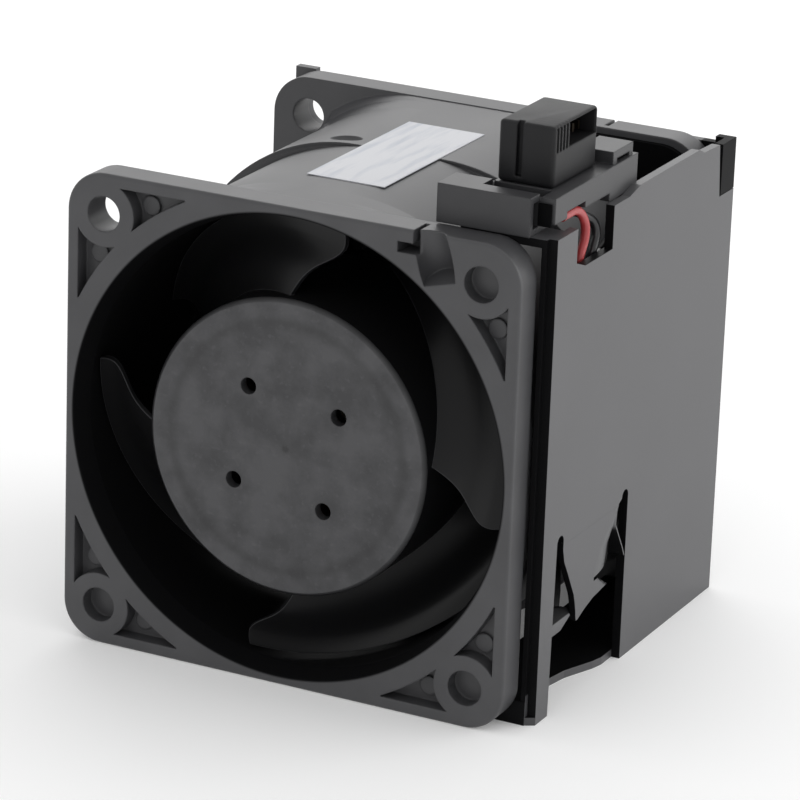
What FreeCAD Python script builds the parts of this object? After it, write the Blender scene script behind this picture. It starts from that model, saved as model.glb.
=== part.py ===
"""Server fan module, millimetres.

Two counter-rotating fans stand back to back in one square duct.  A clip-on side carrier holds the
module in its bay and carries a plug-in connector on a bracket above the duct.

The origin is on the fan axis at the inlet face.  +X is right as seen from the inlet, +Y runs
through the duct from inlet to outlet, and +Z is up.
"""
import FreeCAD, Part
import math
import os
import re
import Sketcher
from FreeCAD import Placement, Rotation, Vector

doc = FreeCAD.newDocument("server_fan_module")

# ---------------------------------------------------------------- driving dimensions

SIZES = [
    # duct housing
    ("frame_size", 60, "side of the square flanges"),
    ("fan_depth", 56, "inlet face to outlet face"),
    ("flange_thick", 4.2, "thickness of each flange"),
    ("flange_round", 5, "corner radius of the flanges"),
    ("body_inset", 0.1, "body surface below the flange edge"),
    ("front_round", 3, "flat half of the inlet fan's body between its rounded corners"),
    ("rear_round", 6, "the same for the outlet fan"),
    ("notch_place", 8.7, "oval notch in the outlet fan's body, distance from the fan axis"),
    ("notch_length", 4.8, "length of that notch"),
    ("notch_width", 2.4, "width of that notch"),
    ("notch_depth", 0.9, "depth of that notch"),
    ("flare_run", 5, "length of the flare from body to flange"),
    ("flare_rise", 4, "corner radius lost along the flare"),
    ("duct_wall", 1.8, "wall between duct and flange edge"),
    ("mouth_flare", 0.7, "widening of the bore at the flange face"),
    ("mouth_depth", 3, "length of the bell mouth"),
    ("hole_inset", 5, "screw holes from the flange edges"),
    ("hole_radius", 2.2, "screw hole radius"),
    ("blind_depth", 2, "depth of the three blind inlet holes"),
    ("nut_room", 1.2, "relief behind each screw hole, beyond its radius"),
    ("pocket_rim", 1.5, "flange rim outside the corner pockets"),
    ("pocket_ring", 2.7, "ring between duct mouth and corner pockets"),
    ("boss_wall", 1.9, "wall round each screw hole"),
    ("pocket_depth", 2.1, "depth of the corner pockets"),
    ("pocket_reach", 16, "reach of the corner pockets from the flange edge"),
    ("mark_radius", 1.2, "radius of the ejector marks in the pockets"),
    ("mark_height", 0.35, "height of the ejector marks"),
    ("mark_along", 5.5, "ejector mark from the screw hole, along the pocket"),
    ("mark_across", 1.5, "the same towards the flange edge"),
    ("edge_round", 0.4, "rounding of the flange's outer edge at its face"),
    ("scoop_bore", 2.3, "radius of the hollow beside the wire slit"),
    ("scoop_inset", 12, "upper end of that hollow, from the flange edge"),
    ("scoop_drop", 5.6, "length of that hollow below the flange edge"),
    ("scoop_lean", 1.6, "how far it leans towards the corner"),
    ("scoop_sink", 1, "depth of its axis at the lower end"),
    ("seam_gap", 0.3, "groove at the joint of the two housings"),
    ("seam_depth", 0.6, "depth of that groove"),
    ("slit_place", 14.6, "wire slit, distance from the flange edge"),
    ("slit_width", 2.6, "width of the wire slit's hook"),
    ("slit_height", 1.3, "height of the wire slit's hook"),
    ("slit_drop", 1.6, "flange edge left above the hook"),
    ("slit_mouth", 0.6, "width of the slit's mouth in the flange edge"),
    # motor base and vanes
    ("hub_radius", 18.55, "outer radius of impeller hub and motor base"),
    ("base_floor", 1.6, "floor of the motor base"),
    ("base_wall", 1.2, "rim of the motor base"),
    ("base_start", 6.4, "open end of the motor base, from the joint"),
    ("vane_count", 6, "vanes carrying the motor base"),
    ("vane_thick", 1.2, "thickness of a vane"),
    ("vane_start", 5.2, "leading edge of the vanes, from the joint"),
    ("cable_angle", 38, "direction of the cable vane"),
    ("cable_vane", 5.4, "width of the cable vane"),
    ("cable_slot", 3.0, "width of the cable channel"),
    ("cable_slot_depth", 1.5, "depth of the channel in each housing"),
    ("cable_window", 8.5, "window in the base floor where the leads come in, distance from the fan axis"),
    # motor
    ("shaft_radius", 1.5, "shaft radius"),
    ("shaft_start", 2.3, "outer end of the shaft, from the flange face"),
    ("shaft_end", 3.2, "inner end of the shaft, from the joint"),
    ("bearing_radius", 4, "outer radius of the ball bearings"),
    ("bearing_width", 4, "width of the ball bearings"),
    ("race_wall", 0.75, "thickness of the bearing races"),
    ("shield_thick", 0.25, "thickness of the bearing shields"),
    ("shield_gap", 0.08, "running gap at the bearing shields"),
    ("bearing_place_1", 6.4, "start of the outer bearing"),
    ("bearing_place_2", 11, "start of the inner bearing, from the joint"),
    ("tube_wall", 1, "wall of the bearing tube"),
    ("tube_lip", 0.6, "shoulder between the bearings"),
    ("tube_start", 6, "open end of the bearing tube"),
    ("tube_end", 0.8, "closed end of the bearing tube, from the joint"),
    ("clip_thick", 0.5, "thickness of the shaft clip"),
    ("clip_groove", 0.35, "depth of the clip groove in the shaft"),
    ("core_start", 7.5, "start of the stator stack"),
    ("core_end", 12.5, "end of the stator stack, from the joint"),
    ("core_root", 7.4, "root radius of the stator teeth"),
    ("air_gap", 0.5, "gap between stator and magnet"),
    ("tooth_width", 3.2, "width of a stator tooth"),
    ("tooth_count", 6, "stator teeth"),
    ("tooth_gap", 1.4, "opening between tooth heads"),
    ("head_thick", 1.1, "thickness of a tooth head"),
    ("insulator_thick", 0.6, "thickness of the insulating end caps"),
    ("coil_gap", 0.2, "room between a coil and the core's root and heads"),
    ("coil_build", 1.5, "thickness of a winding on its tooth"),
    ("board_start", 5.8, "face of the circuit board, from the joint"),
    ("board_thick", 1, "circuit board thickness"),
    ("board_gap", 0.3, "gap round the circuit board"),
    ("ledge_width", 1.2, "ledge carrying the circuit board"),
    # impellers
    ("hub_setback", 0.6, "hub face behind the flange face"),
    ("hub_face", 1.4, "thickness of the hub face"),
    ("hub_wall", 1.2, "wall of the hub"),
    ("hub_end", 7, "open end of the hub, from the joint"),
    ("hub_chamfer", 0.5, "bevel of the hub face"),
    ("vent_ring", 8.66, "radius of the ring of hub holes"),
    ("vent_radius", 1.05, "radius of the hub holes"),
    ("vent_count", 4, "hub holes"),
    ("vent_angle", 37, "direction of the first hub hole"),
    ("yoke_wall", 1, "wall of the steel rotor cup"),
    ("yoke_end", 7.7, "open end of the rotor cup, from the joint"),
    ("boss_radius", 3.6, "shaft boss of the rotor cup"),
    ("boss_end", 5.2, "end of the shaft boss"),
    ("magnet_thick", 2, "magnet thickness"),
    ("magnet_start", 5, "start of the magnet ring"),
    ("magnet_end", 9, "end of the magnet ring, from the joint"),
    ("front_blades", 4, "blades of the inlet impeller"),
    ("rear_blades", 5, "blades of the outlet impeller"),
    ("blade_thick", 0.9, "blade thickness"),
    ("blade_start", 2.4, "blade edge nearest the flange, at the hub"),
    ("blade_tip_start", 3.6, "the same at the tip"),
    ("blade_end", 8.4, "blade edge nearest the vanes, from the joint"),
    ("blade_wrap", 76, "angle that an inlet blade covers"),
    ("rear_wrap", 58, "angle that an outlet blade covers"),
    ("blade_sweep", 21, "angle from the blade edge's root to its tip"),
    ("blade_angle", 93, "direction of the first blade's root"),
    ("tip_gap", 0.5, "gap between blade tips and duct"),
    ("blade_sink", 0.5, "blade root inside the hub wall"),
    ("tip_round", 3, "rounding of the blade's outer corner"),
    # side carrier
    ("wall_gap", 1, "space between flange side and carrier wall"),
    ("wall_thick", 1.1, "carrier wall thickness"),
    ("wall_front", 5, "front edge of the carrier wall"),
    ("wall_overrun", 1.2, "carrier wall behind the outlet face"),
    ("wall_rise", 1.1, "carrier wall above the duct"),
    ("wall_front_rise", 0.2, "front part of the wall above the duct"),
    ("wall_step", 0.2, "wall behind the wire notch above the front part"),
    ("crest_start", 4.4, "start of the slope to the wall's crest, from the wire notch"),
    ("crest_slope", 3, "length of that slope"),
    ("crest_end", 11.6, "end of the crest, from the wall's rear edge"),
    ("crest_fall", 1.6, "length of the slope behind the crest"),
    ("post_notch", 4.5, "length of the rear notch, from the wall's rear edge"),
    ("post_notch_drop", 6.6, "depth of the rear notch below the duct's top"),
    ("wire_notch_front", 10.5, "front edge of the wire notch"),
    ("wire_notch_rear", 20.6, "rear edge of the wire notch"),
    ("wire_notch_drop", 4.9, "depth of the wire notch below the duct's top"),
    ("wire_notch_ramp", 2.5, "sloped corner of the wire notch"),
    ("lip_height", 3, "height of the front lip"),
    ("lip_thick", 1.3, "thickness of the front lip"),
    ("lip_start", 8.5, "inner end of the front lip"),
    ("ledge_thick", 1, "thickness of the bottom ledge"),
    ("ledge_end", 26.3, "rear end of the bottom ledge"),
    ("ledge_inset", 2.6, "bottom ledge edge inside the wall"),
    ("roof_start", 11, "inner edge of the front roof"),
    ("ledge_left", 11, "inner edge of the bottom ledge"),
    ("rib_height", 44, "height of the rear seat rib"),
    # latch finger in the carrier wall
    ("cutout_front", 8.3, "front edge of the latch cut-out"),
    ("cutout_rear", 29.2, "rear edge of the latch cut-out"),
    ("slit_top", 22.5, "top of the slits beside the latch finger"),
    ("slit_end_radius", 0.9, "rounded top of each slit"),
    ("flex_line", 21, "height of the line where the finger bends"),
    ("knuckle_radius", 0.4, "bead along the bending line"),
    ("flex_gap", 0.12, "gap along the bending line"),
    ("bead_gap", 0.05, "running gap round the bead"),
    ("finger_front", 10.7, "front edge of the finger at its root"),
    ("finger_rear", 26.3, "rear edge of the finger at its root"),
    ("finger_tip", 8.8, "lower end of the finger"),
    ("finger_bend", 1.4, "inward bend of the finger at its lower end"),
    ("finger_gap", 0.5, "gap between finger and cut-out"),
    ("scoop_radius", 4.4, "radius of the thumb scoop at its ledge"),
    ("scoop_offset", 2.4, "axis of the thumb scoop outside the wall, at its ledge"),
    ("scoop_ledge", 13, "height of the ledge under the thumb scoop"),
    # outlet frame
    ("outlet_thick", 1.2, "thickness of the outlet frame"),
    ("outlet_inset", 0.8, "outlet frame inside the flange edge"),
    ("outlet_step", 0.3, "opening of the outlet frame beyond the duct"),
    ("tab_width", 2.9, "width of the corner tabs"),
    # connector bracket
    ("block_left", 14, "left end of the bracket's front block"),
    ("block_right", 2.1, "right end of the bracket's front block"),
    ("block_front", 4, "front face of the bracket"),
    ("bracket_top", 4.9, "top of the front block"),
    ("bracket_wall", 0.8, "wall of the hollow front block"),
    ("block_rear", 8.9, "rear face of the front block"),
    ("plinth_left", 9.3, "left edge of the plinth"),
    ("plinth_top", 4.6, "top of the plinth"),
    ("plinth_bottom", 1.5, "underside of the plinth"),
    ("plinth_front", 6.3, "front edge of the plinth's rail"),
    ("plinth_rear", 29.2, "rear end of the plinth"),
    ("step_place", 21.4, "start of the deeper rear part of the rail"),
    ("step_bottom", 0.5, "underside of the deeper rear part"),
    ("groove_front", 6.4, "front edge of the groove before the connector"),
    ("groove_depth", 1.3, "depth of that groove"),
    ("tongue_top", 6.1, "top of the retaining tongue"),
    ("tongue_thick", 1.0, "thickness of the retaining tongue"),
    ("tongue_left", 4.8, "left edge of the retaining tongue"),
    ("tongue_front", 22.9, "front edge of the retaining tongue"),
    ("tongue_rear", 28.5, "rear edge of the retaining tongue"),
    # connector
    ("plug_left", 9.1, "left face of the connector"),
    ("plug_right", 2.5, "right face of the connector"),
    ("plug_front", 9.5, "front face of the connector"),
    ("plug_rear", 22, "rear face of the connector"),
    ("plug_shoulder", 11, "top of the connector's low part"),
    ("plug_top", 12, "top of the connector"),
    ("key_front", 6.1, "left edge of the raised top, at the front"),
    ("key_rear", 8.7, "left edge of the raised top, at the rear"),
    ("key_groove", 0.8, "width of the groove beside the raised top"),
    ("key_groove_depth", 0.6, "depth of that groove"),
    ("socket_front", 11, "front end of the socket"),
    ("socket_rear", 21.3, "rear end of the socket"),
    ("socket_bottom", 7.9, "floor of the socket"),
    ("socket_top", 11.3, "roof of the socket"),
    ("socket_back", 7.4, "back wall of the socket"),
    ("contact_count", 6, "contacts"),
    ("contact_thick", 0.5, "contact thickness"),
    ("contact_pitch", 1.6, "contact pitch"),
    ("contact_reach", 3.6, "contact length out of the socket's back wall"),
    # leads and label
    ("lead_radius", 0.55, "radius of a lead"),
    ("lead_exit", 3.2, "height of the rear leads where they leave the bracket"),
    ("lead_bend", 6.5, "where the leads turn down the channel, beyond the frame's side"),
    ("label_width", 10.4, "label width"),
    ("label_start", 13.6, "front edge of the label"),
    ("label_length", 27, "label length"),
    ("label_thick", 0.1, "label thickness"),
]

# Sizes that count from a face set by other sizes, and the face they count from.
COUNTED_FROM = {
    "fan_depth / 2 -": "base_start vane_start shaft_end bearing_place_2 tube_end core_end board_start hub_end"
                       " yoke_end magnet_end blade_end",
    "frame_size / 2 -": "front_round rear_round pocket_reach slit_place scoop_inset",
    "frame_size / 2 +": "bracket_top plinth_top plinth_bottom step_bottom tongue_top plug_shoulder plug_top"
                        " socket_bottom socket_top lead_exit lead_bend",
    "frame_size / 2 + wall_gap -": "lip_start roof_start ledge_left block_left block_right plinth_left"
                                   " tongue_left plug_left plug_right key_front key_rear socket_back",
    "-frame_size / 2 +": "slit_top flex_line finger_tip scoop_ledge",
}
RULES = {name: f"{face} Sizes.{name}" for face, names in COUNTED_FROM.items() for name in names.split()}
RULES.update({
    "duct_radius": "frame_size / 2 - duct_wall",
    "mouth_radius": "duct_radius + mouth_flare",
    "hole_place": "frame_size / 2 - hole_inset",
    "outlet_radius": "duct_radius + outlet_step",
})

sheet = doc.addObject("Spreadsheet::Sheet", "Sizes")
for row, (alias, value, meaning) in enumerate(SIZES, start=1):
    sheet.set(f"A{row}", meaning)
    sheet.set(f"B{row}", str(value))
    sheet.setAlias(f"B{row}", alias)
doc.recompute()

ALIASES = {alias for alias, _, _ in SIZES}


def linked(rule):
    """Turn a rule written with plain size names into a sheet expression."""
    def spelled(match):
        name = match[0]
        if name in RULES:
            return f"({linked(RULES[name])})"
        return "Sizes." + name if name in ALIASES else name
    return re.sub(r"(?<![\w.])[a-z_][a-z_0-9]*", spelled, str(rule))


def worth(rule):
    """The present value of a size or of a rule, as a number."""
    value = sheet.evalExpression(linked(rule))
    return float(getattr(value, "Value", value))


def bind(obj, **rules):
    """Bind properties to rules; x, y and z stand for the object's place."""
    for name, rule in rules.items():
        path = ".Placement.Base." + name if name in ("x", "y", "z") else name
        obj.setExpression(path, linked(rule))
    return obj


# ---------------------------------------------------------------- building blocks

TO_Y = Rotation(Vector(1, 0, 0), -90)
TO_X = Rotation(Vector(0, 1, 0), 90)
PLANES = {
    # plane: its role in a body, sign of its normal, and the order of the outline's coordinates
    "XZ": ("XZ_Plane", -1),
    "YZ": ("YZ_Plane", 1),
    "XY": ("XY_Plane", 1),
}
PIECES = []
SAME = 1e-6     # lengths closer than this count as equal


def piece(obj, label):
    """Name a finished piece; its name is also its file's name."""
    obj.Label = label
    PIECES.append(obj)
    return obj


def box(name, x, y, z):
    obj = doc.addObject("Part::Box", name)
    spans = [f"({high}) - ({low})" for low, high in (x, y, z)]
    return bind(obj, Length=spans[0], Width=spans[1], Height=spans[2], x=x[0], y=y[0], z=z[0])


def rod(name, radius, y, x="0", z="0"):
    """A cylinder along the duct."""
    obj = doc.addObject("Part::Cylinder", name)
    obj.Placement = Placement(Vector(), TO_Y)
    return bind(obj, Radius=radius, Height=f"({y[1]}) - ({y[0]})", x=x, y=y[0], z=z)


def cross_rod(name, radius, x, y, z):
    """A cylinder across the duct, along X."""
    obj = doc.addObject("Part::Cylinder", name)
    obj.Placement = Placement(Vector(), TO_X)
    return bind(obj, Radius=radius, Height=f"({x[1]}) - ({x[0]})", x=x[0], y=y, z=z)


def cone(name, first, last, y):
    """A cone on the fan axis."""
    obj = doc.addObject("Part::Cone", name)
    obj.Placement = Placement(Vector(), TO_Y)
    return bind(obj, Radius1=first, Radius2=last, Height=f"({y[1]}) - ({y[0]})", y=y[0])


def fuse(name, *shapes):
    obj = doc.addObject("Part::MultiFuse", name)
    obj.Shapes = list(shapes)
    obj.Refine = True
    return obj


def cut(name, base, *tools):
    obj = doc.addObject("Part::Cut", name)
    obj.Base = base
    obj.Tool = tools[0] if len(tools) == 1 else fuse(name + "_tools", *tools)
    obj.Refine = True
    return obj


def common(name, base, tool):
    obj = doc.addObject("Part::Common", name)
    obj.Base = base
    obj.Tool = tool
    return obj


def group(name, *members):
    """Several solids kept as one piece."""
    obj = doc.addObject("Part::Compound", name)
    obj.Links = list(members)
    return obj


def around(name, member, angle):
    """A copy of a member turned about the fan axis, from +X towards +Z."""
    obj = group(name, member)
    obj.Placement = Placement(Vector(), Rotation(Vector(0, -1, 0), angle))
    return obj


def ring_of(name, member, count, first_angle):
    """Copies of a member spread evenly about the fan axis."""
    step = 360 / count
    return [around(f"{name}_{i}", member, first_angle + i * step) for i in range(count)]


def profile(body, plane, corners):
    """A closed sketch whose corners are bound to the sizes."""
    sketch = body.newObject("Sketcher::SketchObject", body.Name + "_sketch")
    role = PLANES[plane][0]
    sketch.AttachmentSupport = (next(f for f in body.Origin.OriginFeatures if f.Role == role), [""])
    sketch.MapMode = "FlatFace"
    spots = [Vector(worth(a), worth(b), 0) for a, b in corners]
    count = len(corners)
    for i in range(count):
        sketch.addGeometry(Part.LineSegment(spots[i], spots[(i + 1) % count]), False)
    for i in range(count):
        sketch.addConstraint(Sketcher.Constraint("Coincident", i, 2, (i + 1) % count, 1))
    for i, rules in enumerate(corners):
        for kind, rule, value in zip(("DistanceX", "DistanceY"), rules, (spots[i].x, spots[i].y)):
            index = sketch.addConstraint(Sketcher.Constraint(kind, -1, 1, i, 1, value))
            sketch.setExpression(f"Constraints[{index}]", linked(rule))
    return sketch


def slab(name, plane, corners, low, high):
    """An outline drawn in a plane and padded from low to high along the plane's normal."""
    body = doc.addObject("PartDesign::Body", name)
    sketch = profile(body, plane, corners)
    sign = PLANES[plane][1]
    sketch.setExpression("AttachmentOffset.Base.z", linked(f"{sign} * ({low})"))
    pad = body.newObject("PartDesign::Pad", name + "_pad")
    pad.Profile = sketch
    pad.Reversed = sign < 0
    pad.setExpression("Length", linked(f"({high}) - ({low})"))
    doc.recompute()
    return body


def revolved(name, corners):
    """A profile of (radius, distance along the duct) turned round the fan axis."""
    body = doc.addObject("PartDesign::Body", name)
    sketch = profile(body, "XY", corners)
    turn = body.newObject("PartDesign::Revolution", name + "_turn")
    turn.Profile = sketch
    turn.ReferenceAxis = (sketch, ["V_Axis"])
    turn.Angle = 360
    doc.recompute()
    return body


def ring(name, inner, outer, low, high):
    return revolved(name, [(inner, low), (outer, low), (outer, high), (inner, high)])


def soften(body, name, edges, radius):
    """Round some edges of a body's last feature."""
    last = body.Tip
    picked = [f"Edge{i}" for i, edge in enumerate(last.Shape.Edges, start=1) if edges(edge.BoundBox)]
    fillet = body.newObject("PartDesign::Fillet", name)
    fillet.Base = (last, picked)
    fillet.setExpression("Radius", linked(radius))
    doc.recompute()
    return body


def rounded_plate(name, half, corner, y):
    """A square plate across the duct with rounded corners."""
    body = slab(name, "XZ", [(f"-({half})", f"-({half})"), (half, f"-({half})"),
                             (half, half), (f"-({half})", half)], y[0], y[1])
    return soften(body, name + "_round", lambda b: max(b.XLength, b.ZLength) < SAME, corner)


def solid(name, shape):
    """A form that has no simple primitive."""
    obj = doc.addObject("Part::Feature", name)
    obj.Shape = shape
    return obj


# ---------------------------------------------------------------- one fan, measured from its flange face

HALF = "fan_depth / 2"
FLANGE = "frame_size / 2"
BODY = "frame_size / 2 - body_inset"
BASE_INNER = "hub_radius - base_wall"
TUBE_OUTER = "bearing_radius + tube_wall"
BOARD_BACK = "board_start + board_thick"
HUB_INNER = "hub_radius - hub_wall"
HUB_BACK = "hub_setback + hub_face"
CUP_INNER = "hub_radius - hub_wall - yoke_wall"
MAGNET_INNER = "hub_radius - hub_wall - yoke_wall - magnet_thick"
STATOR = "hub_radius - hub_wall - yoke_wall - magnet_thick - air_gap"


def rounded_square(half, corner, y):
    """A wire across the duct: a square with rounded corners."""
    edges = []
    for i in range(4):
        turn = Rotation(Vector(0, 1, 0), -90 * i)
        centre = Vector(half - corner, y, half - corner)
        start = centre + Vector(corner, 0, 0)
        end = centre + Vector(0, 0, corner)
        middle = centre + Vector(corner, 0, corner) * math.sqrt(0.5)
        edges.append(Part.Arc(*(turn.multVec(p) for p in (start, middle, end))).toShape())
        if corner < half:
            following = Vector(-(half - corner), y, half)
            edges.append(Part.LineSegment(turn.multVec(end), turn.multVec(following)).toShape())
    return Part.Wire(Part.__sortEdges__(edges))


def flared_body(name, corner):
    """The body between flange and joint, flaring out towards the flange's corners."""
    half = worth(BODY)
    full, rise, run = worth(corner), worth("flare_rise"), worth("flare_run")
    start = worth("flange_thick")
    stations = [(start, full - rise), (start + 0.35 * run, full - 0.35 * rise), (start + run, full),
                (worth(HALF) - worth("seam_gap") / 2, full)]
    wires = [rounded_square(half, corner, y) for y, corner in stations]
    return solid(name, Part.makeLoft(wires, True, True))


def corner_pockets(name, side):
    """Recesses in the flange face beside each screw hole, with round ejector marks on their floors.

    The inlet flange has none between the wire slit and its corner.
    """
    inset = "frame_size / 2 - pocket_rim"
    field = box(name + "_field", (f"-({inset})", inset), ("-1", "pocket_depth"), (f"-({inset})", inset))
    keep = [rod(name + "_ring", "mouth_radius + pocket_ring", ("-2", "pocket_depth + 1"))]
    for i, (sx, sz) in enumerate(((1, 1), (-1, 1), (-1, -1), (1, -1))):
        keep.append(rod(f"{name}_boss_{i}", "hole_radius + boss_wall", ("-2", "pocket_depth + 1"),
                        f"{sx} * hole_place", f"{sz} * hole_place"))
        keep.append(box(f"{name}_corner_{i}", *corner_block(sx, sz)))
        for j, (x, z) in enumerate((("mark_along", "(-mark_across)"), ("-mark_across", "mark_along"))):
            keep.append(rod(f"{name}_mark_{i}{j}", "mark_radius",
                            ("pocket_depth - mark_height", "pocket_depth + 1"),
                            f"{sx} * (hole_place - {x})", f"{sz} * (hole_place - {z})"))
    keep.append(box(name + "_bar_x", ("-frame_size", "frame_size"), ("-2", "pocket_depth + 1"),
                    ("-pocket_reach", "pocket_reach")))
    keep.append(box(name + "_bar_z", ("-pocket_reach", "pocket_reach"), ("-2", "pocket_depth + 1"),
                    ("-frame_size", "frame_size")))
    if side > 0:
        keep.append(box(name + "_solid", ("0", "hole_place - hole_radius"), ("-2", "pocket_depth + 1"),
                        ("hole_place - hole_radius", "frame_size")))
    return cut(name, field, *keep)


def corner_block(sx, sz):
    """The flange corner outside a screw hole, which has no recess."""
    near, far = "hole_place", "frame_size / 2 + 1"
    x = (near, far) if sx > 0 else (f"-({far})", f"-({near})")
    z = (near, far) if sz > 0 else (f"-({far})", f"-({near})")
    return x, ("-2", "pocket_depth + 1"), z


def wire_slit(name, side):
    """The hooked slit in the flange's upper edge that takes a wire."""
    place = f"{side} * slit_place"
    top = "frame_size / 2 - slit_drop"
    hook = box(name + "_hook", (f"{place} - slit_width / 2", f"{place} + slit_width / 2"),
               ("-1", "flange_thick - 1"), (f"{top} - slit_height", top))
    edge = f"{place} + {side} * (slit_width - slit_mouth) / 2"
    mouth = box(name + "_mouth", (f"{edge} - slit_mouth / 2", f"{edge} + slit_mouth / 2"),
                ("-1", "flange_thick - 1"), (f"{top} - slit_height", "frame_size"))
    return [hook, mouth]


def corner_scoop(name):
    """The hollow beside the wire slit, which leans towards the corner and deepens downwards."""
    top = Vector(worth("scoop_inset"), -1.5 * worth("scoop_sink"), worth("frame_size / 2 + 0.5"))
    foot = Vector(top.x + worth("scoop_lean"), worth("scoop_sink"), worth("frame_size / 2 - scoop_drop"))
    obj = doc.addObject("Part::Cylinder", name)
    obj.Height = (foot - top).Length
    obj.Placement = Placement(top, Rotation(Vector(0, 0, 1), foot - top))
    return bind(obj, Radius="scoop_bore")


def screw_holes(name, through):
    """Screw holes in the flange; those that aren't through are blind.  Behind each is room for a nut."""
    holes = []
    for i, (sx, sz) in enumerate(((1, 1), (-1, 1), (-1, -1), (1, -1))):
        end = "flange_thick + 1" if (sx, sz) in through else "blind_depth"
        spot = f"{sx} * hole_place", f"{sz} * hole_place"
        holes.append(rod(f"{name}_{i}", "hole_radius", ("-1", end), *spot))
        holes.append(rod(f"{name}_nut_{i}", "hole_radius + nut_room",
                         ("flange_thick", "flange_thick + flare_run + 1"), *spot))
    return holes


def motor_base(name):
    """The cup that carries the motor, with a ledge for the circuit board."""
    ledge = f"{BASE_INNER} - ledge_width"
    return revolved(name, [(TUBE_OUTER, HALF), ("hub_radius", HALF), ("hub_radius", "base_start"),
                           (BASE_INNER, "base_start"), (BASE_INNER, BOARD_BACK), (ledge, BOARD_BACK),
                           (ledge, f"{HALF} - base_floor"), (TUBE_OUTER, f"{HALF} - base_floor")])


def vanes(name, first_angle):
    """Radial vanes between motor base and duct; the first is wide and carries the cable."""
    reach = (f"{BASE_INNER} + base_wall / 2", "duct_radius + body_inset")
    plain = box(name + "_plate", reach, ("vane_start", HALF), ("-vane_thick / 2", "vane_thick / 2"))
    wide = box(name + "_wide_plate", reach, ("vane_start", HALF), ("-cable_vane / 2", "cable_vane / 2"))
    count = int(worth("vane_count"))
    plates = ring_of(name, plain, count, first_angle)[1:]
    return plates + [around(name + "_cable", wide, first_angle)]


def housing(prefix, side, through, extra_cuts=()):
    """Flange, body, vanes and motor base of one fan, moulded in one piece."""
    name = prefix + "_housing"
    angle = worth("cable_angle") if side > 0 else 180 - worth("cable_angle")
    corner = "front_round" if side > 0 else "rear_round"
    flange = soften(rounded_plate(name + "_flange", FLANGE, "flange_round", ("0", "flange_thick")),
                    name + "_edge", lambda b: b.YMax < SAME, "edge_round")
    core = rounded_plate(name + "_core", f"{BODY} - seam_depth", f"{corner} - seam_depth",
                         ("flange_thick", HALF))
    outside = fuse(name + "_outside", flange, flared_body(name + "_body", corner), core)
    bore = rod(name + "_bore", "duct_radius", ("-1", "fan_depth"))
    mouth = cone(name + "_mouth", "mouth_radius", "duct_radius", ("0", "mouth_depth"))
    shell = cut(name + "_shell", outside, bore, mouth, corner_pockets(name + "_pockets", side),
                *screw_holes(name + "_hole", through), *wire_slit(name + "_slit", side), *extra_cuts)
    across = ("-cable_slot / 2", "cable_slot / 2")
    channel = box(name + "_channel", ("cable_window", "frame_size"),
                  (f"{HALF} - cable_slot_depth", f"{HALF} + 1"), across)
    window = box(name + "_window", ("cable_window", f"{BASE_INNER} - ledge_width"),
                 (f"{HALF} - base_floor - 1", f"{HALF} + 1"), across)
    whole = fuse(name + "_whole", shell, motor_base(name + "_base"), *vanes(name + "_vane", angle))
    return cut(name, whole, around(name + "_cable_way", fuse(name + "_cable_room", channel, window), angle))


def stator_section(name, low, high):
    """The toothed section of the stator between two heights."""
    count = int(worth("tooth_count"))
    head_inner = f"{STATOR} - head_thick"
    root = ring(name + "_root", TUBE_OUTER, "core_root", low, high)
    heads = ring(name + "_heads", head_inner, STATOR, low, high)
    tooth = box(name + "_tooth", ("core_root - 0.5", f"{STATOR} - head_thick / 2"), (low, high),
                ("-tooth_width / 2", "tooth_width / 2"))
    gap = box(name + "_gap", (f"{head_inner} - 0.5", f"{STATOR} + 1"), (f"{low} - 1", f"{high} + 1"),
              ("-tooth_gap / 2", "tooth_gap / 2"))
    star = fuse(name + "_star", root, heads, *ring_of(name + "_tooth", tooth, count, 0))
    return cut(name, star, *ring_of(name + "_gap", gap, count, 180 / count))


def windings(name):
    """One coil on each stator tooth."""
    half = "(tooth_width / 2 + coil_build)"
    x = ("core_root + coil_gap", f"sqrt(({STATOR} - head_thick) ^ 2 - {half} ^ 2) - coil_gap")
    low, high = "core_start - insulator_thick", "core_end + insulator_thick"
    outer = box(name + "_outer", x, (f"{low} - coil_build", f"{high} + coil_build"),
                ("-tooth_width / 2 - coil_build", "tooth_width / 2 + coil_build"))
    inner = box(name + "_inner", ("0", "frame_size"), (low, high), ("-tooth_width / 2", "tooth_width / 2"))
    coil = cut(name + "_coil", outer, inner)
    return group(name, *ring_of(name, coil, int(worth("tooth_count")), 0))


def bearing_pair(name, section):
    """The same ring in both bearing places."""
    rings = []
    for place in ("bearing_place_1", "bearing_place_2"):
        rings.append(revolved(f"{name}_{place}", [(r, f"{place} + {s}") for r, s in section]))
    return group(name, *rings)


def shaft_clip(name):
    """Open ring in the shaft's groove."""
    start = "bearing_place_2 + bearing_width"
    whole = ring(name + "_ring", "shaft_radius - clip_groove", "shaft_radius + race_wall - shield_gap",
                 start, f"{start} + clip_thick")
    opening = box(name + "_opening", ("0", "bearing_radius"), (f"{start} - 1", f"{start} + 2"),
                  ("-shaft_radius / 2", "shaft_radius / 2"))
    return cut(name, whole, opening)


def shaft(name):
    """Shaft with bevelled ends and the groove for its clip."""
    groove = "bearing_place_2 + bearing_width"
    neck = "shaft_radius - clip_groove"
    bevel = 0.25
    return revolved(name, [
        ("0", "shaft_start"), (f"shaft_radius - {bevel}", "shaft_start"),
        ("shaft_radius", f"shaft_start + {bevel}"), ("shaft_radius", groove), (neck, groove),
        (neck, f"{groove} + clip_thick"), ("shaft_radius", f"{groove} + clip_thick"),
        ("shaft_radius", f"shaft_end - {bevel}"), (f"shaft_radius - {bevel}", "shaft_end"),
        ("0", "shaft_end")])


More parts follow.
